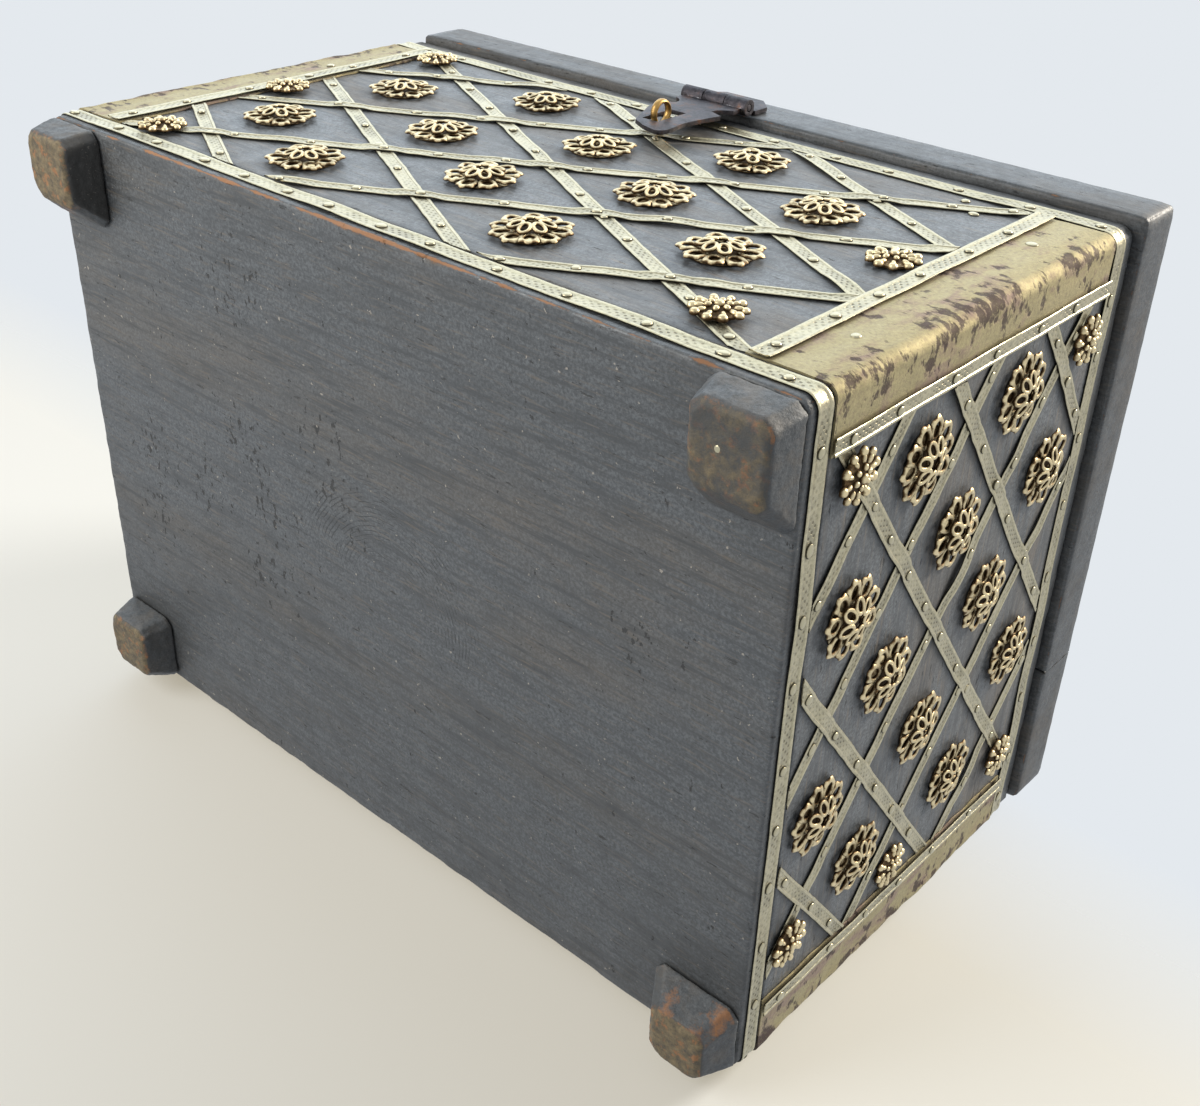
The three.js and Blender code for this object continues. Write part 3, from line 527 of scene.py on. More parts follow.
def domed_nail_brass(tree, place):
    """Brass nail heads, domed by the hammer: pale and bright on top, dark where dirt rings them."""
    brass = bpy.context.scene.box_brass
    relief = node(tree, MARK, settings={"attribute_name": "relief"}, out="Fac")
    grain = speckle(tree, place, 0.9, roughness=0.7, seed=8.2)
    dirt_and_painted_shade = weighed(tree, -0.25, (relief, 1.0), (grain, 0.5))
    tone = node(tree, RAMP, {0: dirt_and_painted_shade}, stops=[
        (0.1, scaled(brass.strip_dirt, 0.35)), (0.45, scaled(brass.strip, 0.85)), (0.9, brass.strip)])
    rough = node(tree, RAMP, {0: dirt_and_painted_shade}, stops=[(0.2, 0.5), (0.8, 0.28)])
    return tone, rough, grain, 0.05, {"Metallic": 0.9}


# ---- Mesh helpers. A shape is its places, its faces and, for each place, the marks that its material reads.


def rough_at(place, size, seed=0.0):
    """Smooth noise from about -1 to 1. Its bumps are size millimetres across."""
    return noise.noise(place / size + Vector((seed * 7.13, seed * 3.31, seed * 5.77)))


def smoothstep(low, high, value):
    share = min(1.0, max(0.0, (value - low) / (high - low)))
    return share * share * (3 - 2 * share)


def heading(turn):
    """The way that an angle points, level and one long."""
    return Vector((math.cos(turn), math.sin(turn), 0))


def piece(name, shape, material, body, stands_for=(), marks=("relief",), sharp=40):
    """A named mesh from a shape. Each place has one number, or one for each of the marks."""
    mesh = bpy.data.meshes.new(name)
    mesh.from_pydata([p * MM for p in shape[0]], [], shape[1])
    for number, mark in enumerate(marks):
        values = [row[number] if isinstance(row, tuple) else row for row in shape[2]]
        mesh.attributes.new(mark, "FLOAT", "POINT").data.foreach_set("value", values)
    work = bmesh.new()
    work.from_mesh(mesh)
    bmesh.ops.remove_doubles(work, verts=work.verts, dist=1e-6)
    bmesh.ops.dissolve_degenerate(work, edges=work.edges, dist=1e-7)
    bmesh.ops.recalc_face_normals(work, faces=work.faces)
    work.to_mesh(mesh)
    work.free()
    mesh.shade_smooth()
    mesh.set_sharp_from_angle(angle=math.radians(sharp))
    mesh.materials.append(material)
    made = bpy.data.objects.new(name, mesh)
    bpy.context.scene.collection.objects.link(made)
    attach(made, body)
    if stands_for:
        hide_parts(*stands_for)


def node_box(name):
    """A CAD node's lowest and highest corners, in millimetres."""
    low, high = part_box(name)
    return low / MM, high / MM


def add_shape(whole, part):
    """Appends one shape to another."""
    start = len(whole[0])
    whole[0].extend(part[0])
    whole[1].extend([[start + i for i in face] for face in part[1]])
    whole[2].extend(part[2])


def join_rings(rings, sides, closed=False):
    """Faces between rings of points. The end rings are capped, or where it is closed, joined."""
    faces = []
    for i in range(rings if closed else rings - 1):
        for k in range(sides):
            a, b, beside = i * sides, (i + 1) % rings * sides, (k + 1) % sides
            faces.append([a + k, a + beside, b + beside, b + k])
    if not closed:
        faces += [[k for k in range(sides)][::-1], [(rings - 1) * sides + k for k in range(sides)]]
    return faces


def lathe(profile, sides, centre, out, across, stretch=1.0):
    """A turned shape from rings of (radius, height, mark), the last one at its tip."""
    up = out.cross(across)
    places, marks = [], []
    for radius, height, mark in profile:
        for k in range(sides):
            way = heading(math.tau * k / sides)
            flat = across * (radius * stretch * way.x) + up * (radius / stretch * way.y)
            places.append(centre + flat + out * height)
            marks.append(mark)
    return places, join_rings(len(profile), sides), marks


# ---- Wood


def grid_lines(low, high, cell, ease):
    """Places across a board: close together at its eased edges and a cell apart between them."""
    inner = high - low - 2 * ease
    count = max(1, round(inner / cell))
    middle = [low + ease + inner * i / count for i in range(count + 1)]
    return [low, low + 0.35 * ease, *middle, high - 0.35 * ease, high]


def shell(lines):
    """The outside of a block as a grid of four-sided faces. Lines are the places along each axis."""
    index, places, faces = {}, [], []
    for axis in range(3):
        u, v = (axis + 1) % 3, (axis + 2) % 3
        for end in (0, len(lines[axis]) - 1):
            for i in range(len(lines[u]) - 1):
                for j in range(len(lines[v]) - 1):
                    ring = []
                    for du, dv in ((0, 0), (1, 0), (1, 1), (0, 1)):
                        key = [0, 0, 0]
                        key[axis], key[u], key[v] = end, i + du, j + dv
                        if tuple(key) not in index:
                            index[tuple(key)] = len(places)
                            places.append(Vector([lines[a][key[a]] for a in range(3)]))
                        ring.append(index[tuple(key)])
                    faces.append(ring if end else ring[::-1])
    return places, faces


def eased(place, low, high, ease, corner):
    """A block's surface point after its upright corners are rounded and its other edges are eased.
    Returns the point, the outward direction in which its corner points, and its nearness to an edge."""
    depth, sign = [0.0] * 3, [0] * 3
    for axis in range(3):
        sign[axis] = 1 if place[axis] > (low[axis] + high[axis]) / 2 else -1
        depth[axis] = (high[axis] - place[axis]) if sign[axis] > 0 else (place[axis] - low[axis])
    radius = corner(sign[0], sign[1])
    shaped = list(depth)
    out = Vector((1, 0) if depth[0] < depth[1] else (0, 1))
    side = min(depth[0], depth[1])
    if radius > 0 and depth[0] < radius and depth[1] < radius:
        way = Vector((radius - depth[0], radius - depth[1]))
        reach = max(way)
        out = way.normalized()
        shaped[0], shaped[1] = radius - out.x * reach, radius - out.y * reach
        side = radius - reach
    if side < ease and depth[2] < ease:
        way = Vector((ease - side, ease - depth[2]))
        bent = way.normalized() * max(way)
        inward = (ease - bent.x) - side
        shaped[0] += out.x * inward
        shaped[1] += out.y * inward
        shaped[2] = ease - bent.y
    moved = Vector([high[a] - shaped[a] if sign[a] > 0 else low[a] + shaped[a] for a in range(3)])
    near = max(0.0, 1 - sorted(depth)[1] / 2.5)
    direction = Vector([sign[a] if depth[a] < 2.5 else 0 for a in range(3)])
    return moved, direction, near


def make_board(name, kind, cell, ease, seed, corner=lambda _x, _y: 0.0, body="box", low=None, high=None,
               bare=lambda place: 0.0, painted_shade=lambda place: 0.0):
    """A planed board with rubbed edges. corner gives the radius of the upright corner at its sides x and y,
    bare how far an edge is worn to bare wood at a place, and grime how much soot and wax have settled."""
    wood = bpy.context.scene.box_wood
    box_low, box_high = node_box(name)
    low, high = Vector(low or box_low), Vector(high or box_high)
    places, faces = shell([grid_lines(low[a], high[a], cell, max(ease, 0.4)) for a in range(3)])
    shaped, marks = [], []
    undulation, rub = wood.undulation / MM, wood.edge_wear / MM
    for place in places:
        moved, direction, near = eased(place, low, high, ease, corner)
        chip = max(0.0, 0.35 + rough_at(place, 7, seed) + 0.5 * rough_at(place, 2.2, seed + 1))
        moved -= direction * (near ** 2 * rub * chip * 0.6)
        if near < 0.3:
            moved -= direction * undulation * (0.5 + 0.5 * rough_at(place, 45, seed + 2))
        shaped.append(moved)
        # The second mark is the painted shade that the wood's material darkens by.
        marks.append((near ** 2 * (0.1 + 0.35 * chip + bare(place)), min(1.0, painted_shade(place))))
    material = finished(stained_hardwood, "ebonised_hardwood_" + kind, *BOARDS[kind])
    piece(name + "_board", (shaped, faces, marks), material, body, (name,), ("wear", "painted_shade"))


def make_foot(name, seed, rubbed, black):
    """A worn copy of a foot's CAD node: remeshed, softened and roughened."""
    low, high = node_box(name)
    made = bpy.data.objects.new(name, frame["nodes"][name].data.copy())
    bpy.context.scene.collection.objects.link(made)
    remesh = made.modifiers.new("remesh", "REMESH")
    remesh.mode, remesh.voxel_size = "VOXEL", 0.65 * MM
    soften = made.modifiers.new("soften", "SMOOTH")
    soften.iterations, soften.factor = 2, 0.5
    mesh = bpy.data.meshes.new_from_object(made.evaluated_get(bpy.context.evaluated_depsgraph_get()))
    bpy.data.objects.remove(made)
    places, marks = [], []
    for vertex in mesh.vertices:
        place, normal = vertex.co / MM, vertex.normal
        place += normal * 0.28 * (rough_at(place, 6, seed) + 0.6 * rough_at(place, 1.8, seed + 4))
        places.append(place)
        rim = smoothstep(0.2, 0.5, -normal.z) * (1 - smoothstep(0.75, 0.95, -normal.z))
        exposed = place.y < (low.y + high.y) / 2 or rubbed > 0.7
        wear = rim * (0.45 + 0.5 * rough_at(place, 6, seed)) * exposed
        marks.append((smoothstep(0.55, 0.85, -normal.z) * rubbed, wear, black * smoothstep(0.5, 0.8, normal.x)))
    faces = [list(p.vertices) for p in mesh.polygons]
    bpy.data.meshes.remove(mesh)
    piece(name + "_block", (places, faces, marks), finished(worn_foot_hardwood), "box", (name,),
          ("ground", "wear", "black"))


def field_painted_shade(face, top):
    """Grime on a decorated face: along the strips, round the rosettes and up under the lid, and all of it
    a little below what holds it."""
    lines, centres = lattice(face), diamond_centres(face)

    def painted_shade(place):
        if abs(place.dot(face.out) - face.depth) > 0.5:
            return 0.0
        # Sampled 0.9 mm higher, so that the painted shadow lies just below the strips and rosettes, as if cast by
        # light from above.
        flat = Vector((place.dot(face.across), place.z + 0.9))
        gap = min(abs((flat - origin).dot(across2)) for origin, _along2, across2, _sign in lines)
        reach = min((flat - Vector(centre)).length for centre in centres)
        uneven = 0.75 + 0.5 * rough_at(place, 9, 2)
        # Painted shadows beside the strips and round the rosettes, made uneven, and painted shade under the lid.
        gathered = 0.5 * math.exp(-max(0.0, gap - 2.0) / 1.8) + 0.5 * (1 - smoothstep(8.5, 13.5, reach))
        return gathered * uneven + 0.8 * smoothstep(top - LID_SHADE_DEPTH, top, place.z)

    return painted_shade


# ---- Iron


def make_iron(name, made_name, body, width, seed, rough=0.05):
    """A copy of a CAD node in iron, with its edges filed round and its faces a little uneven."""
    work = bmesh.new()
    work.from_mesh(frame["nodes"][name].data)
    bmesh.ops.scale(work, vec=(1 / MM,) * 3, verts=work.verts)
    bmesh.ops.remove_doubles(work, verts=work.verts, dist=1e-3)
    bmesh.ops.dissolve_limit(work, angle_limit=math.radians(2), verts=work.verts, edges=work.edges)
    edges = [e for e in work.edges if len(e.link_faces) == 2 and e.calc_face_angle(0) > math.radians(35)]
    bmesh.ops.bevel(work, geom=edges, offset=width, segments=3, profile=0.5, affect="EDGES", clamp_overlap=True)
    bmesh.ops.triangulate(work, faces=work.faces)
    bmesh.ops.subdivide_edges(work, edges=[e for e in work.edges if e.calc_length() > 2.5], cuts=2)
    bmesh.ops.triangulate(work, faces=work.faces)
    work.verts.index_update()
    places, wear = [], []
    for vertex in work.verts:
        bend = max((e.calc_face_angle(0) for e in vertex.link_edges if len(e.link_faces) == 2), default=0)
        wear.append(0.55 * smoothstep(0.45, 0.75, bend))
        places.append(vertex.co + vertex.normal * rough * rough_at(vertex.co, 4, seed))
    faces = [[v.index for v in f.verts] for f in work.faces]
    work.free()
    piece(made_name, (places, faces, wear), finished(blackened_wrought_iron), body, (name,),
          ("wear",), sharp=50)


def screw_head(centre, out, across, radius):
    """A countersunk screw head: two half discs with the driver's slot between them."""
    side = out.cross(across)
    places, faces = [], []
    for sign in (-1, 1):
        outline = []
        for k in range(9):
            way = heading(math.pi * k / 8)
            outline.append(across * (radius * way.x) + side * (sign * (0.3 + (radius - 0.3) * way.y)))
        start = len(places)
        places += [centre + point - out * 0.6 for point in outline]
        places += [centre + point * 0.95 + out * 0.22 for point in outline]
        faces += [[start + i for i in face] for face in join_rings(2, 9)]
    return places, faces, [0.75] * len(places)


def make_leaf_screws(name, leaf, body, out_z):
    """Three screws in the flat of a hinge leaf. out_z is 1 for a leaf that is seen from above."""
    corners = [v.co / MM for v in frame["nodes"][leaf].data.vertices]
    low, high = node_box(leaf)
    flat = [c.z for c in corners if c.y < low.y + 2]
    level = max(flat) if out_z > 0 else min(flat)
    screws = ([], [], [])
    pick = random.Random(name)
    for share, inset in ((0.16, 3.6), (0.5, 5.0), (0.84, 3.6)):
        across = heading(pick.uniform(0, math.pi))
        centre = Vector((low.x + share * (high.x - low.x), low.y + inset, level))
        add_shape(screws, screw_head(centre, UP * out_z, across, 1.7))
    piece(name, screws, finished(blackened_wrought_iron), body, (), ("wear",))


# ---- Strips, bands and plates


class Face:
    """One decorated face: where its field lies, and how across, up and out of the wood go into the box."""

    def __init__(self, key):
        self.key = key
        self.across, self.out = (Vector(way) for way in FACES[key])
        low, high = node_box("crossed_strips_" + key)
        self.left, self.right = sorted((low.dot(self.across), high.dot(self.across)))
        self.bottom, self.top = low.z, high.z
        self.width, self.height = self.right - self.left + 0.6, self.top - self.bottom
        self.depth = max(corner.dot(self.out) for corner in node_box("bottom_board"))

    def at(self, across, up, out):
        return self.across * across + UP * up + self.out * (self.depth + out)

    def middle(self):
        return (self.left + self.right) / 2, (self.bottom + self.top) / 2


def brass_mm(name):
    return getattr(bpy.context.scene.box_brass, name) / MM


def strip_shape(course, span, width, lift, seed, clip=None):
    """A stamped strip. course(s) gives its middle, across and out at s along it; lift(place, s) is how far
    its back stands off the wood; clip(offset) gives where it starts and ends."""
    thick, relief = brass_mm("strip_thickness"), brass_mm("relief")
    rows = max(2, round((span[1] - span[0]) / STRIP_STEP))
    places, marks = [], []
    phase = random.Random(seed).uniform(0, 4)
    for i in range(rows + 1):
        s = span[0] + (span[1] - span[0]) * i / rows
        for number, column in enumerate([*COLUMNS, 1, -1]):
            offset = column * width / 2
            start, end = clip(offset) if clip else span
            here = min(max(s, start), end)
            middle, across, out = course(here)
            wobble = 0.3 * noise.noise(Vector((here / 23, seed * 3.7, 0.0)))
            wobble += 0.14 * column * noise.noise(Vector((here / 5, seed, column)))
            place = middle + across * (offset + wobble)
            high, on_top = lift(place, here), number < len(COLUMNS)
            if on_top:
                border = smoothstep(0.58, 0.68, abs(column)) - 0.7 * smoothstep(0.93, 1.0, abs(column))
                high += thick + relief * (border - 1)
            marks.append((here + phase, column if on_top else column * SHADED_UNDERSIDE))
            places.append(place + out * high)
    return places, join_rings(rows + 1, len(COLUMNS) + 2), marks


def nail_head(centre, out, across, radius, pick, ring=0.22):
    """A nail's low domed head in a thin ring of dirt. It is never quite round."""
    r = radius * pick.uniform(0.88, 1.12)
    tilt = (out + across * pick.uniform(-0.08, 0.08)).normalized()
    profile = [(r + ring, -0.35, 0.0), (r + ring, 0.02, 0.0), (r, 0.05, 0.0), (r * 0.99, 0.24, 0.6),
               (r * 0.86, 0.42, 0.85), (r * 0.55, 0.56, 1.0), (r * 0.15, 0.62, 1.0)]
    return lathe(profile, 14, centre, tilt, across, pick.uniform(0.95, 1.2))


def add_nails(nails, course, lift, start, end, gaps, radius, pick, turn=1):
    """Adds nails along a strip, at distances between the two gaps."""
    while start < end:
        middle, across, out = course(start)
        top = lift(middle, start) + brass_mm("strip_thickness") - NAIL_SINK
        add_shape(nails, nail_head(middle + out * top, out, across.cross(out) * turn, radius, pick))
        start += pick.uniform(*gaps)


def strip_pieces(node_name, nails_name, strip, nails):
    piece(node_name + "_brass", strip, finished(stamped_sheet_brass), "box", (node_name,),
          ("along", "across"))
    piece(nails_name, nails, finished(domed_nail_brass), "box")


def lattice(face):
    """The strips of one face, each as its middle, the ways along and across it and the sign of its slope,
    the falling ones first."""
    mid_u, mid_v = face.middle()
    rising, falling = STRIP_SHARES[face.key]
    lines = []
    for shares, sign in ((falling, -1), (rising, 1)):
        along = heading(sign * math.atan2(face.height, face.width)).xy
        across = Vector((-along.y, along.x))
        lines += [(Vector((mid_u, mid_v + share * face.height)), along, across, sign) for share in shares]
    return lines


def clip_to_field(face, origin, along2, across2):
    """A function that gives where a line at an offset from a strip's middle enters and leaves the field."""
    sides = ((face.left, face.right), (face.bottom, face.top))

    def ends(offset):
        point = origin + across2 * offset
        crossed = [sorted((side - point[axis]) / along2[axis] for side in sides[axis]) for axis in range(2)]
        start, end = max(pair[0] for pair in crossed), min(pair[1] for pair in crossed)
        return start, max(start, end)

    return ends


def make_crossed_strips(face):
    """All the crossed strips of one face, each a sheet of its own, with their nails."""
    thick, half = brass_mm("strip_thickness"), STRIP_WIDTH / 2
    lines = lattice(face)
    pick = random.Random(face.key)
    strips, nails = ([], [], []), ([], [], [])
    for number, (origin, along2, across2, sign) in enumerate(lines):
        clip = clip_to_field(face, origin, along2, across2)
        spans = [s for s in (clip(o) for o in (-half, 0, half)) if s[1] - s[0] > 1]
        span = (min(s[0] for s in spans), max(s[1] for s in spans))
        across = face.across * across2.x + UP * across2.y
        crossing = [line for line in lines if line[3] != sign]

        def course(s):
            point = origin + along2 * s
            return face.at(point.x, point.y, 0), across, face.out

        def lift(place, s):
            """The strip bows off the wood between crossings, and a rising one steps over a falling one."""
            flat = Vector((place.dot(face.across), place.z))
            gap = min(abs((flat - other[0]).dot(other[2])) for other in crossing)
            bow = 1.1 * max(0.0, noise.noise(Vector((s / 19, number * 5.1, len(face.key)))))
            over = (thick + 0.12) * (1 - smoothstep(half, half + 4.5, gap)) if sign > 0 else 0.0
            return 0.22 + bow * smoothstep(half, half + 9, gap) + over

        add_shape(strips, strip_shape(course, span, STRIP_WIDTH, lift, number + len(face.key), clip))
        add_nails(nails, course, lift, span[0] + pick.uniform(6, 12), span[1] - 5, (17, 29), 1.35, pick)
    strip_pieces("crossed_strips_" + face.key, "strip_nails_" + face.key, strips, nails)


def make_edge_strip(name, face):
    """An upright strip over the inner edge of a corner plate, with its nails."""
    low, high = node_box(name)
    outside = max(corner.dot(face.out) for corner in (low, high))
    stand_off = outside - face.depth - (brass_mm("strip_thickness") + 0.25)
    across_place = ((low + high) / 2).dot(face.across)

    def course(s):
        return face.at(across_place, s, 0), -face.across, face.out

    def lift(_place, s):
        return stand_off + 0.3 * noise.noise(Vector((s / 21, len(name), 2.2)))

    pick = random.Random(name)
    width = 0.82 * abs((high - low).dot(face.across))
    strip, nails = strip_shape(course, (low.z, high.z), width, lift, len(name)), ([], [], [])
    add_nails(nails, course, lift, low.z + pick.uniform(5, 9), high.z - 4, (19, 27), 1.35, pick)
    strip_pieces(name, name + "_nails", strip, nails)


def round_the_box():
    """The way of a band in plan, from the back's left over both ends and the front to the back's right,
    as a function of the distance along it that gives place and outward direction, and its length."""
    low, high = node_box("bottom_board")
    left, right, front, back = low.x + CORNER, high.x - CORNER, low.y + CORNER, high.y - CORNER
    quarter = math.pi / 2
    parts, start, total = [], Vector((low.x + BAND_START, high.y, 0)), 0.0
    for x, y, turn in ((left, back, quarter), (left, front, math.pi), (right, front, 3 * quarter), (right, back, 0)):
        middle = Vector((x, y, 0))
        end = middle + heading(turn) * CORNER
        for size, way in (
            ((end - start).length, lambda t, a=start, b=end, out=heading(turn): (a + (b - a) * t, out)),
            (CORNER * quarter, lambda t, m=middle, turn=turn: (
                m + heading(turn + t * quarter) * CORNER, heading(turn + t * quarter))),
        ):
            parts.append((total, size, way))
            total += size
        start = middle + heading(turn + quarter) * CORNER
    end = Vector((high.x - BAND_START, high.y, 0))
    parts.append((total, (end - start).length, lambda t: (start + (end - start) * t, heading(quarter))))

    def place(s):
        begin, size, way = next((part for part in parts if s <= part[0] + part[1]), parts[-1])
        return way(min(1.0, max(0.0, (s - begin) / size)))

    return place, total + parts[-1][1]


def make_band(name, seed):
    """A stamped band bent round the corners of the box, with its nails."""
    low, high = node_box(name)
    way, total = round_the_box()
    middle = UP * (low.z + high.z) / 2

    def course(s):
        point, out = way(s)
        return point + middle, UP, out

    def lift(_place, s):
        return 0.14 + 0.8 * max(0.0, noise.noise(Vector((s / 31, seed * 1.9, 4.4))))

    strip = strip_shape(course, (0.0, total), 0.8 * (high.z - low.z), lift, seed)
    nails = ([], [], [])
    add_nails(nails, course, lift, 5.0, total - 4, (17, 27), 1.5, random.Random(name), turn=-1)
    strip_pieces(name, name + "_nails", strip, nails)


def make_plate(name, seed):
    """A corner plate: one thin sheet, bent round the box's corner and dented by knocks."""
    low, high = node_box(name)
    wood_low, wood_high = node_box("bottom_board")
    sign = Vector((1 if high.x > 0 else -1, 1 if high.y > 0 else -1, 0))
    centre, reach = Vector((0, 0, 0)), [0, 0]
    for a in range(2):
        centre[a] = (wood_high if sign[a] > 0 else wood_low)[a] - sign[a] * CORNER
        reach[a] = abs(centre[a] - (low if sign[a] > 0 else high)[a])
    counts = [round(flange / PLATE_STEP) for flange in reach]
    path, turns = [], 12
    for i in range(counts[0]):
        flat = Vector((-reach[0] * (1 - i / counts[0]), CORNER, 0))
        path.append((centre + sign * flat, Vector((0, sign.y, 0))))
    for i in range(turns + 1):
        out = sign * heading(math.pi / 2 * (1 - i / turns))
        path.append((centre + out * CORNER, out))
    for i in range(1, counts[1] + 1):
        flat = Vector((CORNER, -reach[1] * i / counts[1], 0))
        path.append((centre + sign * flat, Vector((sign.x, 0, 0))))
    rows, across = round((high.z - low.z) / PLATE_STEP), len(path)
    edges = {0: (path[1][0] - path[0][0]).normalized(), across - 1: (path[-1][0] - path[-2][0]).normalized()}
    places, faces, folds = [], [], []
    for outer in (True, False):
        for i in range(rows + 1):
            z = low.z + (high.z - low.z) * i / rows
            for j, (point, out) in enumerate(path):
                place = point + UP * z
                fold = abs(out.x * out.y) * 2
                dent = 0.3 * rough_at(place, 15, seed) + 0.14 * rough_at(place, 5, seed + 2)
                dent += fold * (0.5 * rough_at(place, 11, seed + 5) + 0.25 * rough_at(place, 4, seed + 6) + 0.5)
                off = (0.65 + max(-0.3, dent)) if outer else 0.12
                if j in edges:
                    place += edges[j] * 0.9 * noise.noise(Vector((z / 7, seed, j)))
                folds.append(1 - smoothstep(2.0, 11.0, (centre + sign * CORNER - point).length))
                places.append(place + out * off)
    size = (rows + 1) * across
    for i in range(rows):
        for j in range(across - 1):
            a = i * across + j
            faces.append([a, a + 1, a + across + 1, a + across])
            faces.append([size + a, size + a + across, size + a + across + 1, size + a + 1])
    ring = [*range(across), *(i * across + across - 1 for i in range(1, rows + 1))]
    ring += [*(rows * across + j for j in range(across - 2, -1, -1)), *(i * across for i in range(rows - 1, 0, -1))]
    faces += [[a, size + a, size + b, b] for a, b in zip(ring, ring[1:] + ring[:1])]
    piece(name + "_sheet", (places, faces, folds), finished(mottled_sheet_brass), "box", (name,),
          ("fold",))


def make_lone_nails(name, face, spots):
    """Nails that stand by themselves. Each spot is a place across and up, and how far off the wood."""
    pick = random.Random(name)
    nails = ([], [], [])
    for across, up, off in spots:
        add_shape(nails, nail_head(face.at(across, up, off), face.out, face.across, 1.5, pick, ring=0.15))
    piece(name, nails, finished(domed_nail_brass), "box")


# ---- Rosettes


def petal(centre, long_radius, wide_radius, angle, rim, crown, inner_z, outer_z, teeth=0.0, steps=28, sides=8,
          uneven=0.0):
    """A pressed petal: a rounded rim round an oval opening, pointing outward at an angle. The rim slopes
    from inner_z to outer_z, and its outer side is cut into three points."""
    outward, sideways = heading(angle), heading(angle + math.pi / 2)
    places, marks = [], []
    for k in range(steps):
        phi = math.tau * k / steps
        phi = phi - math.tau if phi > math.pi else phi
        way = heading(phi)
        flat = outward * (centre + long_radius * way.x) + sideways * (wide_radius * way.y)
        normal = (outward * (way.x / long_radius) + sideways * (way.y / wide_radius)).normalized()
        rise = inner_z + (outer_z - inner_z) * (way.x + 1) / 2
        tooth = teeth * (0.5 + 0.5 * math.cos(6.5 * phi)) * (1 - smoothstep(1.2, 1.7, abs(phi)))
        for m in range(sides):
            round_rim = heading(math.tau * m / sides)
            outside = max(0.0, round_rim.x)
            reach = rim * round_rim.x * (1 + uneven * math.sin(2 * phi)) + tooth * outside
            places.append(flat + normal * reach + UP * (rise + crown * round_rim.y - 0.35 * tooth * outside))
            # The mark is highest on top of the rim and at the points of the teeth, where the material paints a
            # highlight, and lowest on the flanks and underside, where it paints shade.
            tip = 0.35 if tooth > 0.5 * teeth and round_rim.x > 0.5 else 0
            marks.append(0.15 + 0.85 * max(0.0, round_rim.y) + tip)
    return places, join_rings(steps, sides, closed=True), marks


def dome(profile, sides, centre=Vector((0, 0, 0))):
    return lathe(profile, sides, centre, UP, Vector((1, 0, 0)))


def large_rosette(pick):
    """Two rings of pressed petals, the upper one steeper, on a thin dished disc that a domed nail holds."""
    whole = ([], [], [])
    petals = pick.choice([9, 9, 10])
    nailed = pick.randrange(petals)
    for k in range(petals):
        angle = math.tau * (k + pick.uniform(-0.08, 0.08)) / petals
        raised = pick.uniform(-0.2, 0.5)
        lower = petal(8.3, 2.85 * pick.uniform(0.92, 1.06), 2.15, angle, 0.74, 0.55,
                      1.2 + raised / 2, 1.2 + raised, 0.6)
        # The lower ring's marks are lowered, so that it is painted darker than the upper ring: painted shade.
        add_shape(whole, (*lower[:2], [0.86 * mark for mark in lower[2]]))
        if k == nailed:
            add_shape(whole, dome([(1.45, -0.3, 0.1), (1.45, 0.3, 0.7), (1.1, 0.7, 1.0), (0.3, 0.9, 1.0)], 10,
                                  heading(angle) * 8.1 + UP * 0.6))
    add_shape(whole, dome([(9.2, 0.1, 0.3), (9.2, 0.45, 0.6), (6.4, 0.9, 0.5), (4.4, 1.5, 0.25),
                           (2.0, 1.7, 0.1)], 24))
    inner = pick.choice([7, 7, 8])
    for k in range(inner):
        angle = math.tau * (k + 0.5 + pick.uniform(-0.08, 0.08)) / inner
        add_shape(whole, petal(4.5, 2.1, 1.55, angle, 0.66, 0.55, 3.5, 2.3 + pick.uniform(-0.15, 0.3), steps=18))
    add_shape(whole, dome([(1.3, 1.2, 0.1), (1.3, 2.2, 0.5), (0.9, 2.6, 0.9), (0.25, 2.7, 1.0)], 12))
    return whole


def small_rosette(pick):
    """A ring of ribs that end in round beads, with smaller beads round a domed nail."""
    whole = ([], [], [])
    beads = pick.choice([10, 11])
    add_shape(whole, dome([(6.2, 0.1, 0.2), (6.2, 0.8, 0.45), (4.6, 1.1, 0.3), (2.0, 1.7, 0.2)], 24))
    rings = ((6.6, beads, 1.3, 0.7, 1.0, 0.0), (4.9, beads, 1.05, 1.0, 1.45, 0.0), (2.7, 6, 0.9, 1.7, 1.1, 0.5))
    for radius, count, size, height, stretch, shift in rings:
        for k in range(count):
            outward = heading(math.tau * (k + shift + pick.uniform(-0.08, 0.08)) / count)
            r = size * pick.uniform(0.9, 1.08)
            profile = [(r, -0.3, 0.1), (r, 0.15, 0.45), (r * 0.88, r * 0.5, 0.8), (r * 0.6, r * 0.8, 1.0),
                       (r * 0.15, r * 0.92, 1.0)]
            add_shape(whole, lathe(profile, 10, outward * radius + UP * height, UP, outward, stretch))
    add_shape(whole, dome([(1.3, 1.6, 0.1), (1.35, 2.4, 0.6), (1.0, 2.9, 0.95), (0.3, 3.1, 1.0)], 12))
    return whole


def place_rosette(name, shape, face, across, up, out, turn, stands_for=()):
    """Sets a rosette on a face, turned by an angle, with its back at a distance off the wood."""
    into_box = Matrix((face.across, UP, face.out)).transposed() @ Matrix.Rotation(turn, 3, "Z")
    base = face.at(across, up, out)
    places = [base + into_box @ place for place in shape[0]]
    piece(name, (places, *shape[1:]), finished(pressed_rosette_brass), "box", stands_for, sharp=60)


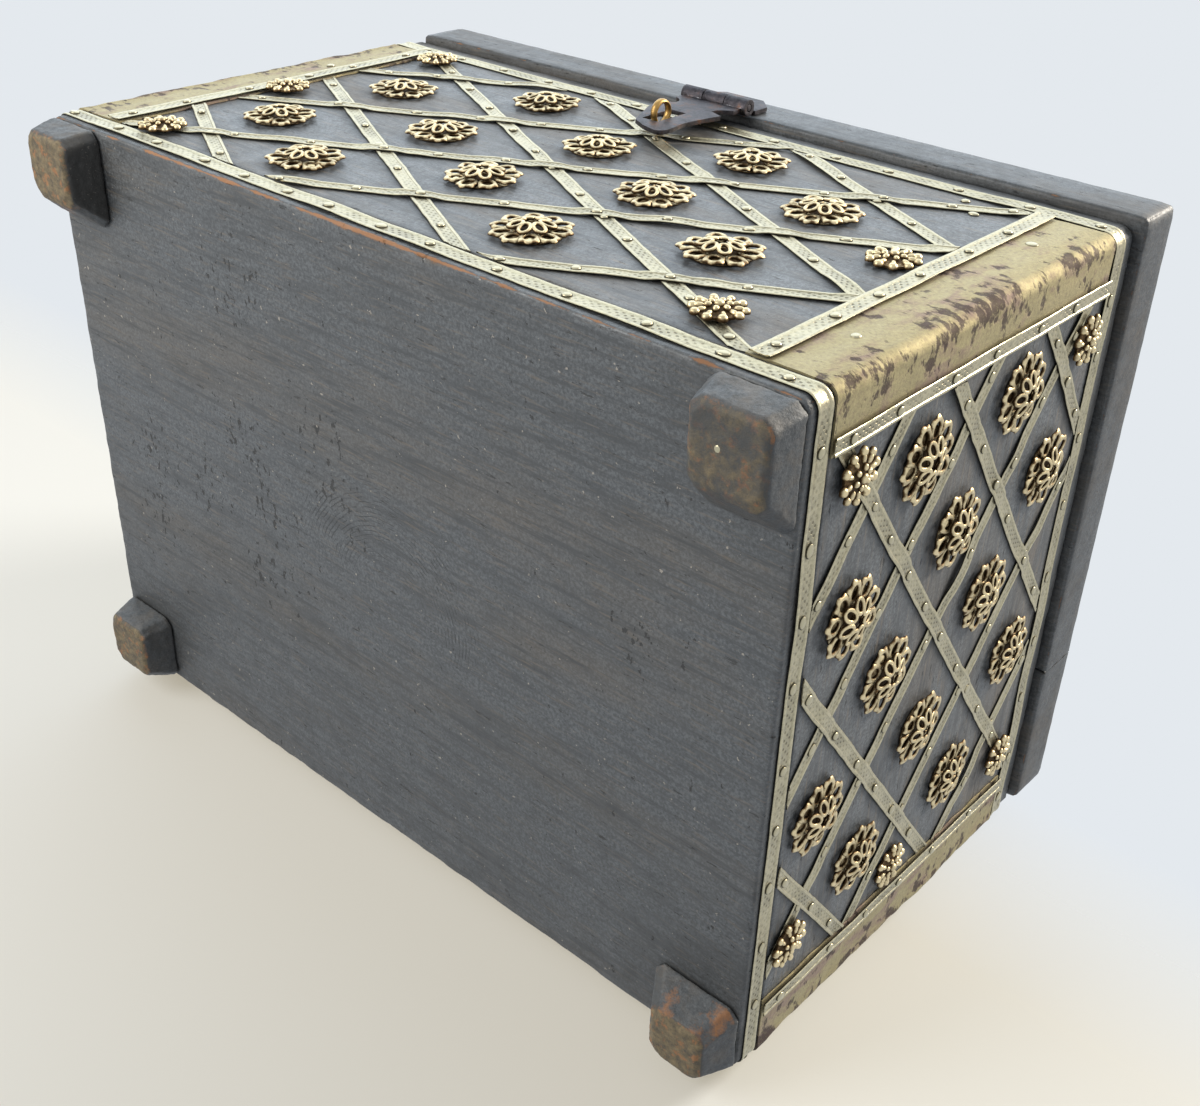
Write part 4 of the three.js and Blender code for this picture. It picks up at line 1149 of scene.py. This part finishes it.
def diamond_centres(face):
    """The middles of the whole diamonds between the crossed strips, moved by the face's drift."""
    rising, falling = STRIP_SHARES[face.key]
    drift = DRIFT[face.key]
    mid_u, mid_v = face.middle()
    centres = []
    for i, r in enumerate(zip(rising, rising[1:])):
        for j, f in enumerate(zip(falling, falling[1:])):
            if i in (0, 3) and j in (0, 3):
                continue
            share_r, share_f = sum(r) / 2, sum(f) / 2
            across = mid_u + (share_f - share_r) * face.width / 2 + drift[0]
            up = mid_v + (share_f + share_r) * face.height / 2 + drift[1]
            centres.append((min(max(across, face.left + ROSETTE_INSET), face.right - ROSETTE_INSET),
                            min(max(up, face.bottom + ROSETTE_INSET), face.top - ROSETTE_INSET)))
    return centres


# ---- Operators


class BOX_OT_carcass(bpy.types.Operator):
    """Builds the bottom, front, back and end boards"""

    bl_idname = "wooden_box.carcass"
    bl_label = "Carcass boards"

    def execute(self, _context):
        low, high = node_box("bottom_board")
        panel_low, panel_high = node_box("front_panel")
        top = panel_high.z

        def front_bottom(place):
            """The front edge of the bottom is worn, most of all along its middle."""
            if place.y > low.y + 4.5 or place.z > low.z + 3:
                return 0.0
            middling = smoothstep(-128, -70, place.x) * (1 - smoothstep(60, 118, place.x))
            return 0.28 + 0.5 * middling + 0.45 * rough_at(place, 24, 4) + 0.55 * rough_at(place, 6, 6)

        def bottom_painted_shade(place):
            # Painted shade: darker towards the back edge, and round the feet.
            corner_gap = Vector((min(place.x - low.x, high.x - place.x), min(place.y - low.y, high.y - place.y)))
            round_feet = 1 - smoothstep(38, 52, corner_gap.length)
            return 0.33 * smoothstep(-20, high.y, place.y) + 0.3 * round_feet * (0.6 + 0.6 * rough_at(place, 12, 8))

        def back_painted_shade(place):
            # Painted shade under the lid at the top, and darker towards the bottom edge.
            lid_shade = 0.8 * smoothstep(top - LID_SHADE_DEPTH, top, place.z)
            return lid_shade + 0.3 * (1 - smoothstep(0, 30, place.z - low.z))

        make_board("bottom_board", "torn", 2.0, 0.9, 1, lambda _x, _y: CORNER,
                   bare=front_bottom, painted_shade=bottom_painted_shade)
        make_board("front_panel", "long", 1.8, 0.5, 2, lambda _x, y: CORNER if y < 0 else 0.0,
                   painted_shade=field_painted_shade(Face("front"), top))
        make_board("back_panel", "long", 3.0, 0.5, 3, lambda _x, y: CORNER if y > 0 else 0.0, painted_shade=back_painted_shade)
        for side, key in ((1, "right_end"), (-1, "left_end")):
            end_low, end_high = node_box(key + "_panel")
            low_x, high_x = (end_low.x, high.x) if side > 0 else (low.x, end_high.x)
            make_board(key + "_panel", "end", 1.8, 0.5, 4 + side, low=(low_x, end_low.y, panel_low.z),
                       high=(high_x, end_high.y, top), painted_shade=field_painted_shade(Face(key), top))
        return {"FINISHED"}


class BOX_OT_feet(bpy.types.Operator):
    """Builds the four worn block feet, with the nail in one of them"""

    bl_idname = "wooden_box.feet"
    bl_label = "Feet"

    def execute(self, _context):
        for seed, (name, rubbed, black) in enumerate(FEET):
            make_foot(name, seed, rubbed, black)
        nail = lathe([(1.0, -0.8, 0.5), (1.0, 0.1, 0.9), (0.7, 0.25, 1.0), (0.2, 0.28, 1.0)], 12,
                     Vector((137.6, -92.9, 0.1)), -UP, Vector((1, 0, 0)))
        piece("foot_nail", nail, finished(domed_nail_brass), "box")
        return {"FINISHED"}


class BOX_OT_lid(bpy.types.Operator):
    """Builds the two boards of the lid"""

    bl_idname = "wooden_box.lid"
    bl_label = "Lid"

    def execute(self, _context):
        for seed, (name, side) in enumerate((("lid_front_board", -1), ("lid_rear_board", 1))):
            low, high = node_box(name)
            low.z += LID_GAP
            make_board(name, "dull", 3.0, 1.2, 8 + seed, lambda _x, y, side=side: 3.0 if y == side else 0.0,
                       "lid", low, high, bare=lambda place: 0.2 + 0.35 * rough_at(place, 15, 3))
        return {"FINISHED"}


class BOX_OT_corner_plates(bpy.types.Operator):
    """Builds the four corner plates and the strips over their edges"""

    bl_idname = "wooden_box.corner_plates"
    bl_label = "Corner plates"

    def execute(self, _context):
        for seed, corner in enumerate(("front_left", "front_right", "rear_left", "rear_right")):
            make_plate("corner_plate_" + corner, seed)
        front = Face("front")
        for side in ("left", "right"):
            make_edge_strip("edge_strip_front_" + side, front)
        for place in ("front", "rear"):
            for key in ("right_end", "left_end"):
                make_edge_strip(f"edge_strip_{key}_{place}", Face(key))
        make_lone_nails("plate_nails", front, [(139.5, 136.1, 0.75), (140.4, 47.9, 0.75), (-139.8, 120.0, 0.75)])
        make_lone_nails("stray_nails", front, [(106.5, 157.8, 0.05), (114.2, 149.0, 0.05)])
        return {"FINISHED"}


class BOX_OT_strips(bpy.types.Operator):
    """Builds the bands round the box and the crossed strips of the decorated faces"""

    bl_idname = "wooden_box.strips"
    bl_label = "Bands and crossed strips"

    def execute(self, _context):
        make_band("bottom_band", 1)
        make_band("top_band", 2)
        for key in FACES:
            make_crossed_strips(Face(key))
        return {"FINISHED"}


class BOX_OT_rosettes(bpy.types.Operator):
    """Builds the large and small rosettes of the decorated faces"""

    bl_idname = "wooden_box.rosettes"
    bl_label = "Rosettes"

    def execute(self, _context):
        pick = random.Random("rosettes")
        large = [large_rosette(pick) for _ in range(5)]
        small = [small_rosette(pick) for _ in range(3)]
        for key in FACES:
            face = Face(key)
            for i, (across, up) in enumerate(diamond_centres(face), 1):
                place_rosette(f"{key}_large_rosette_{i}", pick.choice(large), face, across, up, 0.1,
                              pick.uniform(0, math.tau), (f"front_rosette_{i}",) if key == "front" else ())
        face = Face("front")
        for name in ("lower_left", "upper_left", "lower_right", "left_edge", "right_edge"):
            low, high = node_box("front_small_rosette_" + name)
            middle = (low + high) / 2
            place_rosette("front_beaded_rosette_" + name, pick.choice(small), face, middle.x, middle.z,
                          min(-face.depth - high.y, 1.1), pick.uniform(0, math.tau),
                          ("front_small_rosette_" + name,))
        for key in ("right_end", "left_end"):
            face = Face(key)
            for i, (u, v) in enumerate(END_SMALL_ROSETTES):
                across = u[0] * (face.right - face.left) + u[1]
                across = face.left + across if key == "right_end" else face.right - across
                up = face.bottom + v[0] * (face.top - face.bottom) + v[1]
                place_rosette(f"{key}_beaded_rosette_{i + 1}", pick.choice(small), face, across, up,
                              0.95 if i < 4 else 0.1, pick.uniform(0, math.tau))
        return {"FINISHED"}


class BOX_OT_hasp(bpy.types.Operator):
    """Builds the hasp, its lid plate and pin, and the ring staple"""

    bl_idname = "wooden_box.hasp"
    bl_label = "Hasp and staple"

    def execute(self, _context):
        make_iron("hasp_leaf", "hasp_leaf_forged", "hasp", 0.3, 1, 0.1)
        make_iron("hasp_lid_plate", "hasp_lid_plate_forged", "lid", 0.3, 2, 0.1)
        make_iron("hasp_pin", "hasp_pin_forged", "lid", 0.2, 3)
        low, high = node_box("ring_staple")
        centre = Vector(((low.x + high.x) / 2, low.y + 4.5, (low.z + high.z) / 2))
        places, faces, marks = petal(0, 3.7, 3.7, 0, 0.85, 0.7225, 0, 0, steps=36, sides=12, uneven=0.15)
        staple = ([centre + Vector((p.z * 1.7, p.x, p.y)) for p in places], faces, marks)
        add_shape(staple, lathe([(1.35, 0, 0.5), (1.35, 12, 0.5), (1.0, 12.4, 0.5)], 14,
                                centre + Vector((0, 3.6, 0)), Vector((0, 1, 0)), Vector((1, 0, 0))))
        piece("ring_staple_rod", staple, finished(drawn_brass_rod), "box", ("ring_staple",), ())
        return {"FINISHED"}


class BOX_OT_hinges(bpy.types.Operator):
    """Builds the two butt hinges at the back, with their screws"""

    bl_idname = "wooden_box.hinges"
    bl_label = "Hinges"

    def execute(self, _context):
        for seed, side in enumerate(("left", "right")):
            for part, body in (("hinge_box_leaf", "box"), ("hinge_lid_leaf", "lid"), ("hinge_pin", "box")):
                make_iron(f"{side}_{part}", f"{side}_{part}_iron", body, 0.2, seed)
            make_leaf_screws(f"{side}_box_leaf_screws", f"{side}_hinge_box_leaf", "box", 1)
            make_leaf_screws(f"{side}_lid_leaf_screws", f"{side}_hinge_lid_leaf", "lid", -1)
        return {"FINISHED"}


def pale_floor():
    """A smooth, matt, pale bluish floor. It fades out past the lid, and from behind it isn't seen."""
    material = bpy.data.materials.new("matt_pale_floor")
    tree = blank_tree(material)
    stage = bpy.context.scene.box_stage
    place = node(tree, "ShaderNodeNewGeometry", out="Position")
    upward = node(tree, "ShaderNodeSeparateXYZ", {0: place}, out="Z")
    fade = node(tree, "ShaderNodeMapRange", {"Value": upward, "From Min": 0.10, "From Max": 0.19})
    hidden = highest(tree, fade, node(tree, "ShaderNodeNewGeometry", out="Backfacing"))
    lit = node(tree, "ShaderNodeBsdfDiffuse", {"Color": scaled(stage.floor, 0.5)})
    glow = node(tree, "ShaderNodeEmission", {"Color": stage.floor_shade, "Strength": 0.55})
    both = node(tree, "ShaderNodeAddShader", {0: lit, 1: glow})
    mixed = node(tree, "ShaderNodeMixShader", {
        0: hidden, 1: both, 2: node(tree, "ShaderNodeBsdfTransparent")})
    node(tree, "ShaderNodeOutputMaterial", {"Surface": mixed})
    return material


def pale_world():
    """A pale background for the camera and for reflections, and a softer even light for the object."""
    world = bpy.data.worlds.new("pale_surround")
    tree = blank_tree(world)
    stage = bpy.context.scene.box_stage
    seen = highest(tree, *(node(tree, "ShaderNodeLightPath", out=f"Is {ray} Ray")
                           for ray in ("Camera", "Glossy", "Transmission")))
    ground = node(tree, "ShaderNodeBackground", {"Color": stage.floor, "Strength": 1.0})
    light = node(tree, "ShaderNodeBackground", {"Color": stage.even_light, "Strength": 0.38})
    mixed = node(tree, "ShaderNodeMixShader", {0: seen, 1: light, 2: ground})
    node(tree, "ShaderNodeOutputWorld", {"Surface": mixed})
    bpy.context.scene.world = world


class BOX_OT_stage(bpy.types.Operator):
    """Sets the floor, the light and the camera"""

    bl_idname = "wooden_box.stage"
    bl_label = "Stage"

    def execute(self, context):
        stage = context.scene.box_stage
        collection = context.scene.collection.objects
        half, floor_y = 3.0, cad_box[1][1] + 0.0012
        mesh = bpy.data.meshes.new("floor")
        mesh.from_pydata([(x, floor_y, z) for x, z in ((-half, -half), (half, -half), (half, half), (-half, half))],
                         [], [[0, 1, 2, 3]])
        mesh.materials.append(pale_floor())
        floor = bpy.data.objects.new("floor", mesh)
        for kind in ("diffuse", "glossy", "transmission", "shadow", "volume_scatter"):
            setattr(floor, "visible_" + kind, False)
        collection.link(floor)
        pale_world()
        for name, place, size, power, tint in LAMPS:
            lamp = bpy.data.lights.new(name, "AREA")
            lamp.shape, lamp.size, lamp.energy, lamp.color = "DISK", size, power, linear(tint)
            made = bpy.data.objects.new(name, lamp)
            made.location = place
            made.rotation_euler = (LAMP_TARGET - Vector(place)).to_track_quat("-Z", "Y").to_euler()
            collection.link(made)
        camera = bpy.data.objects.new("camera", bpy.data.cameras.new("camera"))
        camera.data.sensor_fit, camera.data.sensor_width, camera.data.lens = "HORIZONTAL", 36, stage.lens
        camera.data.clip_start = 0.01
        forward, up = Vector((-0.5564, 0.5262, 0.6431)), Vector((-0.3692, -0.8499, 0.376))
        aim = Matrix((forward.cross(up), up, -forward)).transposed().to_4x4()
        camera.matrix_world = Matrix.Translation(stage.camera_place) @ aim
        collection.link(camera)
        context.scene.camera = camera
        context.scene.view_settings.view_transform = "Standard"
        return {"FINISHED"}


OPERATORS = [
    BOX_OT_carcass, BOX_OT_feet, BOX_OT_lid, BOX_OT_corner_plates, BOX_OT_strips, BOX_OT_rosettes,
    BOX_OT_hasp, BOX_OT_hinges, BOX_OT_stage,
]


class BOX_PT_sidebar(bpy.types.Panel):
    """The box's settings and the steps that build it"""

    bl_label = "Wooden box"
    bl_idname = "BOX_PT_sidebar"
    bl_space_type = "VIEW_3D"
    bl_region_type = "UI"
    bl_category = "Wooden box"

    def draw(self, context):
        for settings in SETTINGS:
            group = getattr(context.scene, settings)
            column = self.layout.column(heading=group.__doc__)
            for name in group.__annotations__:
                column.prop(group, name)
        for operator in OPERATORS:
            self.layout.operator(operator.bl_idname)


SETTINGS = {
    "box_wood": WoodSettings, "box_brass": BrassSettings, "box_fittings": FittingSettings,
    "box_stage": StageSettings,
}


def register():
    for cls in (*SETTINGS.values(), *OPERATORS, BOX_PT_sidebar):
        bpy.utils.register_class(cls)
    for name, cls in SETTINGS.items():
        setattr(bpy.types.Scene, name, bpy.props.PointerProperty(type=cls))


def unregister():
    for name in SETTINGS:
        delattr(bpy.types.Scene, name)
    for cls in (BOX_PT_sidebar, *reversed(OPERATORS), *SETTINGS.values()):
        bpy.utils.unregister_class(cls)


def main():
    register()
    for operator in OPERATORS:
        group, name = operator.bl_idname.split(".")
        getattr(getattr(bpy.ops, group), name)()


if __name__ == "__main__":
    main()
